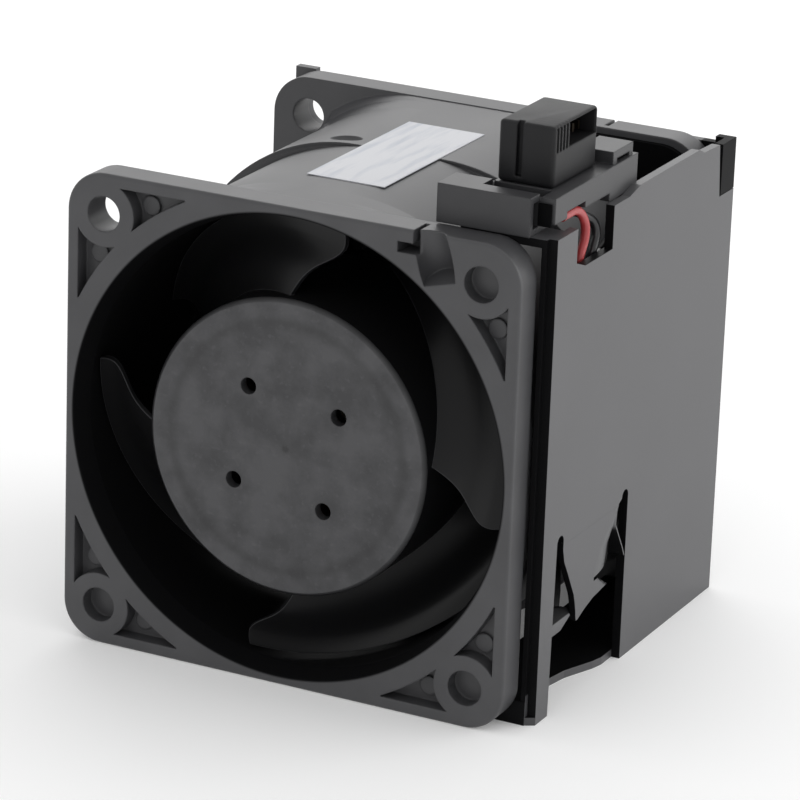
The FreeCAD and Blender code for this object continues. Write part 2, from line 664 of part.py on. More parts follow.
def vents(name, side, depth):
    """Holes through the hub face."""
    hole = rod(name + "_hole", "vent_radius", ("-1", depth), "vent_ring")
    first = worth("vent_angle") if side > 0 else 180 - worth("vent_angle")
    return ring_of(name, hole, int(worth("vent_count")), first)


BLADE_STEPS = (0, 0.2, 0.4, 0.6, 0.8, 1)     # sections along a blade
BLADE_SPREAD = (0, 0.45, 0.8, 1)    # sections from hub to tip
EDGE_CURVE = 1.15   # above 1, the leading edge curves back towards the tip
TAIL_LAG = 0.35     # share of the edge's sweep that the blade's tail keeps
PITCH_GROWTH = 0.18     # share of the blade's depth that comes late along it
EDGE_THIN = 0.45    # edge thickness as a share of the blade's thickness


def blade(hand, wrap, first_angle):
    """One twisted blade.

    Its edge near the flange sweeps back from hub to tip, and the blade runs from there round the hub
    and into the duct.  hand is +1 where it runs from +X towards +Z.
    """
    inner = worth("hub_radius - blade_sink")
    outer = worth("duct_radius - tip_gap")
    start, tip_start, end = worth("blade_start"), worth("blade_tip_start"), worth("blade_end")
    tip, full_sweep, thick = worth("tip_round"), worth("blade_sweep"), worth("blade_thick")

    def spot(u, v, lift):
        """A point at u along the blade, v from hub to tip, and lift off its middle surface."""
        radius = inner + (outer - inner) * v
        corner = max(0.0, (radius - (outer - tip)) / tip)
        trim = tip * (1 - math.sqrt(max(0.0, 1 - corner * corner)))
        sweep = full_sweep * v ** EDGE_CURVE - math.degrees(trim / radius)
        turned = (wrap + full_sweep * TAIL_LAG * v) * u - sweep
        first = start + (tip_start - start) * v
        depth = first + (end - first) * u * (1 - PITCH_GROWTH * (1 - u))
        slope = math.atan2(end - first, math.radians(wrap) * radius)
        thin = EDGE_THIN + (1 - EDGE_THIN) * math.sin(math.pi * min(1.0, 0.12 + u * 0.88))
        half = thick / 2 * thin * lift
        angle = math.radians(first_angle + hand * turned) + hand * half * math.sin(slope) / radius
        return Vector(radius * math.cos(angle), depth - half * math.cos(slope), radius * math.sin(angle))

    def skin(lift):
        surface = Part.BSplineSurface()
        surface.interpolate([[spot(u, v, lift) for v in BLADE_SPREAD] for u in BLADE_STEPS])
        return surface

    near, far = skin(-hand), skin(hand)
    faces = [near.toShape(), far.toShape()]
    for end_of_u in (0, 1):
        faces.append(Part.makeRuledSurface(*(s.uIso(s.bounds()[end_of_u]).toShape() for s in (near, far))))
    for end_of_v in (2, 3):
        faces.append(Part.makeRuledSurface(*(s.vIso(s.bounds()[end_of_v]).toShape() for s in (near, far))))
    shell = Part.makeShell(faces)
    shell.sewShape()
    return Part.makeSolid(Part.Shell(shell.Faces))


def impeller(prefix, side, hand, count, wrap):
    """Hub cup with its blades."""
    name = prefix + "_impeller"
    first = worth("blade_angle") if side > 0 else 180 - worth("blade_angle")
    hub = revolved(name + "_hub", [
        ("0", "hub_setback"), ("hub_radius - hub_chamfer", "hub_setback"),
        ("hub_radius", "hub_setback + hub_chamfer"), ("hub_radius", "hub_end"), (HUB_INNER, "hub_end"),
        (HUB_INNER, HUB_BACK), ("0", HUB_BACK)])
    one = solid(name + "_blade", blade(hand, wrap, first))
    body = fuse(name + "_body", hub, *ring_of(name + "_blade", one, count, 0))
    return cut(name, body, *vents(name + "_vent", side, f"{HUB_BACK} + 0.5"))


def rotor_cup(prefix, side):
    """Steel cup inside the hub, with the boss that holds the shaft."""
    name = prefix + "_rotor_cup"
    cup = revolved(name + "_turned", [
        ("shaft_radius", HUB_BACK), (HUB_INNER, HUB_BACK), (HUB_INNER, "yoke_end"),
        (CUP_INNER, "yoke_end"), (CUP_INNER, f"{HUB_BACK} + yoke_wall"),
        ("boss_radius", f"{HUB_BACK} + yoke_wall"), ("boss_radius", "boss_end"),
        ("shaft_radius", "boss_end")])
    return cut(name, cup, *vents(name + "_vent", side, f"{HUB_BACK} + yoke_wall + 0.5"))


def fan(prefix, side, hand, through, blades, wrap, extra_cuts=()):
    """All the pieces of one fan.  side is +1 for the inlet fan and -1 for the outlet fan."""
    race_inner = "shaft_radius + race_wall"
    race_outer = "bearing_radius - race_wall"
    shield = f"{race_inner} + shield_gap"
    width, skin = "bearing_width", "shield_thick"
    parts = {
        "housing": housing(prefix, side, through, extra_cuts),
        "impeller": impeller(prefix, side, hand, blades, wrap),
        "rotor_cup": rotor_cup(prefix, side),
        "magnet_ring": ring(prefix + "_magnet", MAGNET_INNER, CUP_INNER, "magnet_start", "magnet_end"),
        "shaft": shaft(prefix + "_shaft"),
        "shaft_clip": shaft_clip(prefix + "_shaft_clip"),
        "preload_washer": revolved(prefix + "_preload_washer", [
            ("shaft_radius + 0.1", "boss_end"), (race_inner, "bearing_place_1 - 0.3"),
            (race_inner, "bearing_place_1"), ("shaft_radius + 0.1", "boss_end + 0.3")]),
        "inner_races": bearing_pair(prefix + "_inner_races", [
            ("shaft_radius", "0"), (race_inner, "0"), (race_inner, width), ("shaft_radius", width)]),
        "outer_races": bearing_pair(prefix + "_outer_races", [
            (shield, "0"), ("bearing_radius", "0"), ("bearing_radius", width), (shield, width),
            (shield, f"{width} - {skin}"), (race_outer, f"{width} - {skin}"), (race_outer, skin),
            (shield, skin)]),
        "bearing_tube": revolved(prefix + "_bearing_tube", [
            ("bearing_radius", "tube_start"), (TUBE_OUTER, "tube_start"), (TUBE_OUTER, "tube_end"),
            ("bearing_radius", "tube_end"), ("bearing_radius", "bearing_place_2"),
            ("bearing_radius - tube_lip", "bearing_place_2"),
            ("bearing_radius - tube_lip", "bearing_place_1 + bearing_width"),
            ("bearing_radius", "bearing_place_1 + bearing_width")]),
        "stator_core": stator_section(prefix + "_stator_core", "core_start", "core_end"),
        "stator_insulators": group(
            prefix + "_stator_insulators",
            stator_section(prefix + "_cap_1", "core_start - insulator_thick", "core_start"),
            stator_section(prefix + "_cap_2", "core_end", "core_end + insulator_thick")),
        "windings": windings(prefix + "_windings"),
        "circuit_board": ring(prefix + "_board", f"{TUBE_OUTER} + board_gap", f"{BASE_INNER} - board_gap",
                              "board_start", BOARD_BACK),
    }
    for label, obj in parts.items():
        if side < 0:
            obj.Placement = Placement(Vector(0, worth("fan_depth"), 0), Rotation(Vector(0, 0, 1), 180))
            bind(obj, y="fan_depth")
        piece(obj, f"{prefix}_{label}")


def oval_notch(name):
    """Shallow notch in the upper left shoulder of the outlet fan, beside the joint."""
    obj = doc.addObject("Part::Ellipsoid", name)
    return bind(obj, Radius1="notch_depth", Radius2="notch_length / 2", Radius3="notch_width / 2",
                x="notch_place", y=f"{HALF} - notch_width", z=BODY)


ALL_CORNERS = ((1, 1), (-1, 1), (-1, -1), (1, -1))
fan("front", 1, 1, [(-1, 1)], int(worth("front_blades")), worth("blade_wrap"), [corner_scoop("corner_scoop")])
fan("rear", -1, -1, ALL_CORNERS, int(worth("rear_blades")), worth("rear_wrap"), [oval_notch("oval_notch")])


# ---------------------------------------------------------------- carrier at the side

WALL = "frame_size / 2 + wall_gap"
WALL_OUT = "frame_size / 2 + wall_gap + wall_thick"
WALL_END = "fan_depth + wall_overrun"
FLOOR = "-frame_size / 2"
WALL_TOP = "frame_size / 2 + wall_rise"
FRONT_TOP = "frame_size / 2 + wall_front_rise"
REAR_TOP = "frame_size / 2 + wall_front_rise + wall_step"
NOTCH_FLOOR = "frame_size / 2 - wire_notch_drop"
POST_FLOOR = "frame_size / 2 - post_notch_drop"
SLIT_CENTRE = "slit_top - slit_end_radius"
FINGER_SIDE = "cutout_rear - finger_gap"
FLEX_X = "frame_size / 2 + wall_gap + wall_thick / 2"


def wall(name):
    """Side wall with a notch for the leads, one for the outlet frame's post and the latch cut-out."""
    plate = slab(name + "_plate", "YZ", [
        ("wall_front", FLOOR), (WALL_END, FLOOR), (WALL_END, POST_FLOOR),
        (f"{WALL_END} - post_notch", POST_FLOOR), (f"{WALL_END} - post_notch - 0.7", FRONT_TOP),
        (f"{WALL_END} - crest_end + crest_fall", REAR_TOP), (f"{WALL_END} - crest_end", WALL_TOP),
        ("wire_notch_rear + crest_start + crest_slope", WALL_TOP), ("wire_notch_rear + crest_start", REAR_TOP),
        ("wire_notch_rear", REAR_TOP), ("wire_notch_rear", NOTCH_FLOOR),
        ("wire_notch_front + wire_notch_ramp", NOTCH_FLOOR), ("wire_notch_front", f"{NOTCH_FLOOR} + 0.9"),
        ("wire_notch_front", FRONT_TOP), ("wall_front", FRONT_TOP)], WALL, WALL_OUT)
    side = (f"{WALL} - 1", f"{WALL_OUT} + 1")
    opening = slab(name + "_opening", "YZ", [
        ("cutout_front", f"{FLOOR} - 1"), ("cutout_front + 0.6", SLIT_CENTRE), ("finger_front", SLIT_CENTRE),
        ("finger_front", "flex_line + flex_gap / 2"), ("finger_rear", "flex_line + flex_gap / 2"),
        ("cutout_rear - 2 * slit_end_radius", SLIT_CENTRE), ("cutout_rear", SLIT_CENTRE),
        ("cutout_rear", f"{FLOOR} - 1")], *side)
    front_end = cross_rod(name + "_slit_1", "slit_end_radius", side, "finger_front - slit_end_radius",
                          SLIT_CENTRE)
    rear_end = cross_rod(name + "_slit_2", "slit_end_radius", side, "cutout_rear - slit_end_radius",
                         SLIT_CENTRE)
    socket = rod(name + "_socket", "knuckle_radius + bead_gap", ("finger_front - 1", "finger_rear + 1"),
                 FLEX_X, "flex_line")
    return cut(name, plate, opening, front_end, rear_end, socket)


def carrier(name):
    """Wall with the ledge, lip, roof and rib that hold the fan's two flanges."""
    behind = "flange_thick"
    ledge = slab(name + "_ledge", "XY", [
        ("ledge_left", f"{behind} + 0.1"), (WALL, f"{behind} + 0.1"), (WALL_OUT, "wall_front"),
        (WALL_OUT, "cutout_front"), (f"{WALL} - ledge_inset", "cutout_front + 1.2"),
        (f"{WALL} - ledge_inset", "ledge_end - 9.3"), (f"{WALL} - ledge_inset + 0.5", "ledge_end - 6.3"),
        (f"{WALL} - 0.4", "ledge_end - 1.8"),
        (WALL, "ledge_end"), (WALL, "fan_depth - flange_thick - 0.3"),
        ("ledge_left", "fan_depth - flange_thick - 0.3")], FLOOR, f"{FLOOR} + ledge_thick")
    lip = box(name + "_lip", ("lip_start", WALL), (behind, f"{behind} + lip_thick"),
              (FLOOR, f"{FLOOR} + lip_height"))
    roof = box(name + "_roof", ("roof_start", WALL), (f"{behind} + 0.1", "block_rear"),
               (f"{FRONT_TOP} - ledge_thick", FRONT_TOP))
    corner = box(name + "_corner", (f"{WALL} - 0.6", WALL), (f"{behind} + 0.1", "wall_front + 0.6"),
                 (FLOOR, FRONT_TOP))
    rib = box(name + "_rib", ("frame_size / 2", f"{WALL} + 0.1"), ("fan_depth - flange_thick", "fan_depth"),
              ("-rib_height / 2", "rib_height / 2"))
    return fuse(name, wall(name + "_wall"), ledge, lip, roof, corner, rib)


def latch_finger(name):
    """Springy finger in the wall's cut-out, with a hollow for the thumb."""
    root = "flex_line - flex_gap / 2"
    outline = slab(name + "_outline", "YZ", [
        ("finger_front", root), ("finger_front + 4.2", "finger_tip + 3.8"),
        ("finger_front + 4.7", "finger_tip"), ("cutout_rear - 4", "scoop_ledge - 1.6"),
        (FINGER_SIDE, "scoop_ledge - 0.3"), (FINGER_SIDE, "scoop_ledge + 1.4"),
        ("finger_rear + 0.3", "flex_line - 2"), ("finger_rear", root)],
        "frame_size / 2 - 3", f"{WALL_OUT} + 1")
    strip = slab(name + "_strip", "XZ", [
        (WALL, root), (WALL_OUT, root), (WALL_OUT, "flex_line - 2"), (f"{WALL_OUT} - 0.5", "scoop_ledge + 1.5"),
        (f"{WALL_OUT} - finger_bend", "finger_tip - 0.3"),
        (f"{WALL} - finger_bend - 0.4", "finger_tip - 0.3"), (f"{WALL} - finger_bend", "scoop_ledge + 1.5"),
        (WALL, "flex_line - 2")], "0", "cutout_rear + 1")
    bead = rod(name + "_bead", "knuckle_radius", ("finger_front", "finger_rear"), FLEX_X, "flex_line")
    apex = Vector(worth(f"{WALL_OUT} + 0.1"), worth("finger_rear - 1"), worth("flex_line - 2.2"))
    foot = Vector(worth(f"{WALL_OUT} + scoop_offset"), worth("finger_rear - 1.3"), worth("scoop_ledge"))
    scoop = doc.addObject("Part::Cone", name + "_scoop")
    scoop.Radius1 = 0
    scoop.Height = (foot - apex).Length
    scoop.Placement = Placement(apex, Rotation(Vector(0, 0, 1), foot - apex))
    bind(scoop, Radius2="scoop_radius")
    return cut(name, fuse(name + "_body", common(name + "_blank", outline, strip), bead), scoop)


def outlet_frame(name):
    """Thin frame behind the outlet flange, with a tab on one corner and a post on the other."""
    y = ("fan_depth", WALL_END)
    side = f"{FLANGE} - outlet_inset"
    plate = box(name + "_plate", (f"-({side})", WALL), y, (f"-({side})", side))
    tab = box(name + "_tab", (f"-({side})", f"-({side}) + tab_width"), y, ("frame_size / 4", FLANGE))
    foot = box(name + "_post_foot", (f"{FLANGE} - 0.2", WALL_OUT), y, (f"{POST_FLOOR} + 0.1", FLANGE))
    post = box(name + "_post", (WALL, WALL_OUT), (f"{WALL_END} - post_notch + 0.3", WALL_END),
               (f"{POST_FLOOR} + 0.1", FLANGE))
    opening = rod(name + "_opening", "outlet_radius", ("fan_depth - 1", "fan_depth + outlet_thick + 1"))
    holes = [rod(f"{name}_hole_{i}", "hole_radius", ("fan_depth - 1", "fan_depth + outlet_thick + 1"),
                 f"{sx} * hole_place", f"{sz} * hole_place")
             for i, (sx, sz) in enumerate(ALL_CORNERS)]
    return cut(name, fuse(name + "_body", plate, tab, foot, post), opening, *holes)


# ---------------------------------------------------------------- connector on its bracket

EXITS = (f"{WALL} - 1.6", f"{WALL} - 3.4")      # where the rear fan's leads leave the bracket


def bracket(name):
    """Bracket over the fan's upper edge: a hollow block in front and a plinth along the wall."""
    block = box(name + "_block", ("block_left", "block_right"), ("block_front", "block_rear"),
                (FRONT_TOP, "bracket_top"))
    plinth = box(name + "_plinth", ("plinth_left", WALL), ("plinth_front", "plinth_rear"),
                 ("plinth_bottom", "plinth_top"))
    rail = box(name + "_rail", (f"{WALL} - 1.2", WALL), ("step_place", "plinth_rear"),
               ("step_bottom", "plinth_bottom"))
    over = box(name + "_tongue", ("tongue_left", f"{WALL} - 0.4"), ("tongue_front", "tongue_rear"),
               ("tongue_top - tongue_thick", "tongue_top"))
    risers = [box(f"{name}_riser_{i}", ("tongue_left", f"{WALL} - 0.4"), y,
                  ("plinth_top", "tongue_top - tongue_thick"))
              for i, y in enumerate((("tongue_front", "tongue_front + 1.1"),
                                     ("tongue_rear - 1", "tongue_rear")))]
    gusset = slab(name + "_gusset", "XY", [
        ("plinth_left", "plug_front + 3"), ("plinth_left", "plug_front + 8"),
        ("plinth_left - 3.2", "plug_front + 6")],
        "plinth_bottom", "plinth_bottom + 1")
    cavity = box(name + "_cavity", ("block_left + bracket_wall", "frame_size"),
                 ("block_front + bracket_wall", "plinth_front"),
                 (f"{FRONT_TOP} + bracket_wall", "bracket_top - bracket_wall"))
    groove = box(name + "_groove", ("plinth_left", "block_right + 0.3"),
                 ("groove_front", "plug_front - 0.2"), ("plinth_top - groove_depth", "bracket_top + 1"))
    pocket = box(name + "_pocket", ("plinth_left + bracket_wall", f"{WALL} - bracket_wall"),
                 ("tongue_front + 1.4", "plinth_rear - 1.7"), ("plinth_top - 2.1", "plinth_top"))
    trough = box(name + "_trough", (f"{WALL} - 1.5", "frame_size"), ("plug_front + 0.1", "plug_front + 5.1"),
                 ("plinth_bottom - 1", "plinth_bottom + bracket_wall"))
    exits = [rod(f"{name}_exit_{i}", "lead_radius + 0.1", ("tongue_front + 1.5", "plinth_rear + 1"), x,
                 "lead_exit") for i, x in enumerate(EXITS)]
    body = fuse(name + "_body", block, plinth, rail, over, *risers, gusset)
    return cut(name, body, cavity, groove, pocket, trough, *exits)


def contact_blades(name):
    """The connector's contacts, side by side."""
    count = int(worth("contact_count"))
    middle = "(socket_front + socket_rear) / 2"
    height = "(socket_bottom + socket_top) / 2"
    blades_ = []
    for i in range(count):
        y = f"{middle} + {i - (count - 1) / 2} * contact_pitch"
        blades_.append(box(f"{name}_{i}", ("socket_back - 1", "socket_back + contact_reach"),
                           (f"{y} - contact_thick / 2", f"{y} + contact_thick / 2"),
                           (f"{height} - contact_thick", f"{height} + contact_thick")))
    return blades_


def connector(name):
    """Connector housing, its socket open to the side."""
    lower = box(name + "_lower", ("plug_left", "plug_right"), ("plug_front", "plug_rear"),
                ("plinth_top", "plug_shoulder"))
    upper = slab(name + "_upper", "XY", [
        ("key_front", "plug_front"), ("plug_right", "plug_front"), ("plug_right", "plug_rear"),
        ("key_rear", "plug_rear")], "plug_shoulder - 1", "plug_top")
    rib = box(name + "_rib", ("plug_right - 1.4", "plug_right + 0.4"), ("plug_rear - 0.7", "plug_rear + 0.4"),
              ("plinth_top", "plug_top - 0.4"))
    socket = box(name + "_socket", ("socket_back", "frame_size"), ("socket_front", "socket_rear"),
                 ("socket_bottom", "socket_top"))
    keyway = box(name + "_keyway", ("key_front - 0.9", "key_front - 0.9 + key_groove"),
                 ("plug_front - 1", "plug_front + key_groove_depth"), ("plinth_top + 0.8", "plug_top + 1"))
    step = box(name + "_step", ("plug_right - 0.8", "frame_size"), ("plug_front - 1", "plug_front + 0.5"),
               ("plug_shoulder - 0.6", "plug_top + 1"))
    body = fuse(name + "_body", lower, upper, rib)
    return cut(name, body, socket, keyway, step, *contact_blades(name + "_slot"))


# ---------------------------------------------------------------- leads and label


def in_channel(along, across, y):
    """A spot by the cable channel: distance from the fan axis, distance across, place along the duct."""
    a = math.radians(worth("cable_angle"))
    return (along * math.cos(a) - across * math.sin(a), y, along * math.sin(a) + across * math.cos(a))


def lead(name, points):
    """A lead: straight runs joined by tangent bends."""
    radius = worth("lead_radius")
    runs = [(b - a) for a, b in zip(points, points[1:])]
    shape, here = [], points[0]
    for corner, before, after in zip(points[1:-1], runs, runs[1:]):
        turn = before.getAngle(after)
        back = 0.45 * min(before.Length, after.Length)
        into, out = Vector(before).normalize(), Vector(after).normalize()
        first, last = corner - into * back, corner + out * back
        bend = back / math.tan(turn / 2)
        centre = first + (into.cross(out).cross(into)).normalize() * bend
        section = Part.Face(Part.Wire(Part.Circle(first, into, radius).toShape()))
        shape.append(Part.makeCylinder(radius, (first - here).Length, here, into))
        shape.append(section.revolve(centre, into.cross(out), math.degrees(turn)))
        here = last
    shape.append(Part.makeCylinder(radius, (points[-1] - here).Length, here, runs[-1]))
    return solid(name, shape[0].fuse(shape[1:]).removeSplitter())


def leads():
    """Two leads for each fan, from the bracket into the cable channel and on to the circuit board."""
    step = worth("lead_radius + 0.1")
    side, top, middle = worth(WALL), worth(FLANGE), worth(HALF)
    trough, level = worth("plug_front"), worth("plinth_bottom")
    exits, exit_z, rear = [worth(x) for x in EXITS], worth("lead_exit"), worth("plinth_rear")
    routes = {
        "front_supply_lead": (-step, -step, [
            (side - 0.7, trough + 0.1, level), (side - 0.7, trough + 4.8, level),
            (side - 0.7, trough + 7.7, top - 1.8), (side - 0.8, trough + 5.1, top - 6),
            (side - 1.4, trough + 8, top - 9.4)]),
        "front_return_lead": (step, -step, [
            (side - 2.7, worth("block_rear") + 0.03, level - 0.65), (side - 2.4, trough + 6, level - 0.65),
            (side - 0.8, trough + 11.3, top - 2.1), (side - 0.8, trough + 8.9, top - 6.1),
            (side - 2.7, trough + 11.4, top - 7.8)]),
        "rear_supply_lead": (-step, step, [
            (exits[0], rear - 4.2, exit_z), (exits[0], rear + 2.4, exit_z),
            (side - 1.8, rear + 2.4, top - 3.6)]),
        "rear_return_lead": (step, step, [
            (exits[1], rear - 4.2, exit_z), (exits[1], rear + 3.4, exit_z),
            (side - 3.4, rear + 3.2, top - 3)]),
    }
    board = worth(f"{HALF} - ({BOARD_BACK}) - lead_radius")
    along = worth("lead_bend"), worth(f"{BASE_INNER} - 1.85"), worth("cable_window + 1")
    for name, (across, off, points) in routes.items():
        end_y = middle + math.copysign(board, off)
        tail = [in_channel(along[0], across, middle + off), in_channel(along[1], across, middle + off),
                in_channel(along[2], across, end_y)]
        piece(lead(name + "_tube", [Vector(*p) for p in points + tail]), name)


piece(carrier("carrier_body"), "carrier")
piece(latch_finger("finger_body"), "latch_finger")
piece(outlet_frame("outlet_frame_body"), "outlet_frame")
piece(bracket("bracket_body"), "connector_bracket")
piece(connector("connector_body"), "connector_housing")
piece(group("contacts", *contact_blades("contact")), "connector_contacts")
leads()
piece(box("label_sheet", ("0.2 - label_width / 2", "0.2 + label_width / 2"),
          ("label_start", "label_start + label_length"), (BODY, f"{BODY} + label_thick")), "label")


# ---------------------------------------------------------------- check and write


def main():
    doc.recompute()
    for obj in doc.Objects:
        if {"Invalid", "Error"} & set(obj.State):
            raise SystemExit(f"{obj.Label} failed: {obj.State}")
    for obj in PIECES:
        if obj.Shape.isNull() or not obj.Shape.isValid():
            raise SystemExit(f"{obj.Label} has no valid shape")
    os.makedirs("parts", exist_ok=True)
    for obj in PIECES:
        obj.Shape.exportStep(f"parts/{obj.Label}.step")
        box_ = obj.Shape.BoundBox
        print(f"{obj.Label:28s} {len(obj.Shape.Solids)} solids {obj.Shape.Volume:10.1f} mm3  "
              f"x {box_.XMin:.2f} {box_.XMax:.2f}  y {box_.YMin:.2f} {box_.YMax:.2f}  "
              f"z {box_.ZMin:.2f} {box_.ZMax:.2f}")


main()
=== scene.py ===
# %% [markdown]
# # Server fan module
#
# Two fans stand back to back in one square duct and turn opposite ways.  A side carrier holds the pair
# in its bay with a springy latch finger, and a bracket over the upper edge carries a plug-in connector.
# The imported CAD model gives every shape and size, in metres: +X is right as seen from the inlet, +Y runs
# through the duct and +Z is up.  This notebook dresses it: materials first, then the small surface
# details that moulding leaves, then the light and the camera.

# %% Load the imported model
import math

import bmesh
import bpy
from mathutils import Matrix, Vector


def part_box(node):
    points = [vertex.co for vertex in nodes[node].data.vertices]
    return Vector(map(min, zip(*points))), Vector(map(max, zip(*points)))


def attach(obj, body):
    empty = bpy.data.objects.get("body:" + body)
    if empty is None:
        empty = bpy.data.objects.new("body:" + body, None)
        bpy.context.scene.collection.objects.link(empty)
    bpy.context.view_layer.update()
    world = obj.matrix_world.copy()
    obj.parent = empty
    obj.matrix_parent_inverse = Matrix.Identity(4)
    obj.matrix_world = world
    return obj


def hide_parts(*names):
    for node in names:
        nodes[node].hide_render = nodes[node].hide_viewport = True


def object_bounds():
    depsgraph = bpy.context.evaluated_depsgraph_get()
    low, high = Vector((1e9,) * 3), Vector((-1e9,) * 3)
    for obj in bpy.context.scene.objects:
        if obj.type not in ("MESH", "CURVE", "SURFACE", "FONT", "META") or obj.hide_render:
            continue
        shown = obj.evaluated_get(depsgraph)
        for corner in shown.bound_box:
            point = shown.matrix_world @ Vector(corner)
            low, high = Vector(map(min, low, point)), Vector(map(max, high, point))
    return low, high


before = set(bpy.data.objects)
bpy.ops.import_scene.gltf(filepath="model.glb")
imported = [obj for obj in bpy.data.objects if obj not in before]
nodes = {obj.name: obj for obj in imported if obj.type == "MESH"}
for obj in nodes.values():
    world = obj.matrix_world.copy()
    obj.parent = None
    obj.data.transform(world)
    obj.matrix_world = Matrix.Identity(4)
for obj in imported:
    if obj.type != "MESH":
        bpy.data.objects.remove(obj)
cad_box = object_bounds()
MM = 0.001
print("nodes:", len(nodes), "box in mm:", [[round(v / MM, 1) for v in corner] for corner in cad_box])

# %% [markdown]
# ## Helpers for materials
#
# A colour is written as the hex value one would pick from a swatch, and Blender wants linear light, so
# one function converts it.  A second one adds a node with its settings and links in one line, which
# keeps each material short enough to read as a recipe.  Both could be done by hand in the node editor;
# code has the advantage that every scale can be worked out from a real size in millimetres.  Much here
# is round, so the distance to the fan axis has a helper of its own.

# %% Colour and node helpers


def linear(hex_colour):
    """An sRGB hex colour as linear RGBA."""
    parts = [int(hex_colour[i:i + 2], 16) / 255 for i in (1, 3, 5)]
    return tuple(c / 12.92 if c <= 0.04045 else ((c + 0.055) / 1.055) ** 2.4 for c in parts) + (1.0,)


def add_node(material, kind, settings=None, links=None):
    """Add a shader node.  Keys of settings are properties, or input names or numbers; links feed inputs."""
    tree = material.node_tree
    node = tree.nodes.new("ShaderNode" + kind)
    for key, value in (settings or {}).items():
        if isinstance(key, str) and hasattr(node, key):
            setattr(node, key, value)
        else:
            node.inputs[key].default_value = value
    for key, source in (links or {}).items():
        tree.links.new(source, node.inputs[key])
    return node


def new_material(name, **shader):
    """A material with a Principled shader whose sockets take plain values; underscores stand for spaces."""
    material = bpy.data.materials.new(name)
    material.use_nodes = True
    surface = material.node_tree.nodes["Principled BSDF"]
    for key, value in shader.items():
        surface.inputs[key.replace("_", " ")].default_value = value
    place = add_node(material, "TexCoord").outputs["Object"]
    return material, surface, place


def feed(material, surface, **links):
    """Connect outputs to the Principled shader's inputs."""
    for key, source in links.items():
        material.node_tree.links.new(source, surface.inputs[key.replace("_", " ")])


def axis_distance(material, place):
    """How far a spot is from the fan axis, which runs along Y."""
    flat = add_node(material, "VectorMath", {"operation": "MULTIPLY", 1: (1, 0, 1)}, {0: place})
    length = add_node(material, "VectorMath", {"operation": "LENGTH"}, {0: flat.outputs["Vector"]})
    return length.outputs["Value"]


print("swatch #808080 in linear light:", round(linear("#808080")[0], 3))

# %% [markdown]
# ## Moulded black plastic
#
# Housings, carrier, bracket and connector are injection moulded from glass-filled black plastic.  The mould
# is spark eroded, so the surface has a fine grain of about 0.1 mm and looks satin: dark seen straight on,
# and pale grey where it is seen at a low angle, because every plastic reflects more there.  The grain is
# drawn at 0.3 mm, the finest that shows at this distance.  Flow in the mould leaves soft cloudy patches
# some 8 mm across, and real edges are never sharp, so the Bevel node rounds them by 0.15 mm.

# %% Recipe for moulded plastic
GRAIN_MM = 0.3
# Reflection where the colour turns near black: painted shade, and the outlet frame's post.
SHADE_AND_POST_SHINE = 0.04


def moulded_plastic(name, base, cloud, roughness, darkened=None, shine=0.5, grain_depth_mm=0.006,
                    edge_mm=0.15, cloud_mm=8.0):
    """Satin moulded plastic with grain, cloudy flow and soft edges; an optional pair of colour and mask
    paints shade where the mask is 0.
    """
    material, surface, place = new_material(name, IOR=1.5, Specular_IOR_Level=shine)
    clouds = add_node(material, "TexNoise", {"Scale": 1 / (cloud_mm * MM), "Detail": 4, "Roughness": 0.55},
                      {"Vector": place})
    spread = add_node(material, "MapRange", {"From Min": 0.3, "From Max": 0.7},
                      {"Value": clouds.outputs["Fac"]})
    colour = add_node(material, "Mix", {"data_type": "RGBA", 6: linear(base), 7: linear(cloud)},
                      {0: spread.outputs["Result"]})
    satin = add_node(material, "MapRange", {"To Min": roughness - 0.05, "To Max": roughness + 0.06},
                     {"Value": clouds.outputs["Fac"]})
    grain = add_node(material, "TexNoise", {"Scale": 1 / (GRAIN_MM * MM), "Detail": 2}, {"Vector": place})
    edges = add_node(material, "Bevel", {"samples": 4, "Radius": edge_mm * MM})
    bump = add_node(material, "Bump", {"Strength": 1.0, "Distance": grain_depth_mm * MM},
                    {"Height": grain.outputs["Fac"], "Normal": edges.outputs["Normal"]})
    if darkened:
        dark, mask = darkened
        outer = mask(material, place)
        # Painted shade: near black and less reflective where the mask is 0.
        colour = add_node(material, "Mix", {"data_type": "RGBA", 6: linear(dark)},
                          {0: outer, 7: colour.outputs[2]})
        reflecting = add_node(material, "MapRange", {"To Min": SHADE_AND_POST_SHINE, "To Max": shine}, {"Value": outer})
        feed(material, surface, Specular_IOR_Level=reflecting.outputs["Result"])
    feed(material, surface, Base_Color=colour.outputs[2], Roughness=satin.outputs["Result"],
         Normal=bump.outputs["Normal"])
    return material


print("grain:", GRAIN_MM, "mm, or", round(1 / (GRAIN_MM * MM)), "grains in a metre")

# %% [markdown]
# ## Painted shade inside the mouldings
#
# The bore of the duct, the carrier wall's inner side and edges and the stop behind the latch slit lie in
# shade, and that shade is painted: the colour there turns near black and reflects less.  The post at the
# right end of the outlet frame turns near black in the same way.  A mask from 0, near black, to 1, as
# moulded, tells the recipe which colour a spot has.  Two materials on one piece would need its faces sorted
# by hand; a mask sorts them by where they are.

# %% Masks
# Near black painted as shade on the bore, the carrier wall's inner side and the stop behind the latch slit,
# and laid on the outlet frame's post.
SHADE_AND_POST_BLACK = "#101011"
# Each mask rises from 0 at the first of its two places to 1 at the second.
BORE_EDGE_MM = (28.95, 29.2)
ROOF_MM = (27.0, 27.5)
WALL_SIDE_MM = (31.5, 31.7)
WALL_FOOT_MM = (-26.0, -26.5)
POST_MM = (28.0, 27.8)


def outside_duct(material, place):
    """0 on the bore of the duct, where shade is painted, and 1 from a little outside it."""
    start, end = BORE_EDGE_MM
    return add_node(material, "MapRange", {"From Min": start * MM, "From Max": end * MM},
                    {"Value": axis_distance(material, place)}).outputs["Result"]


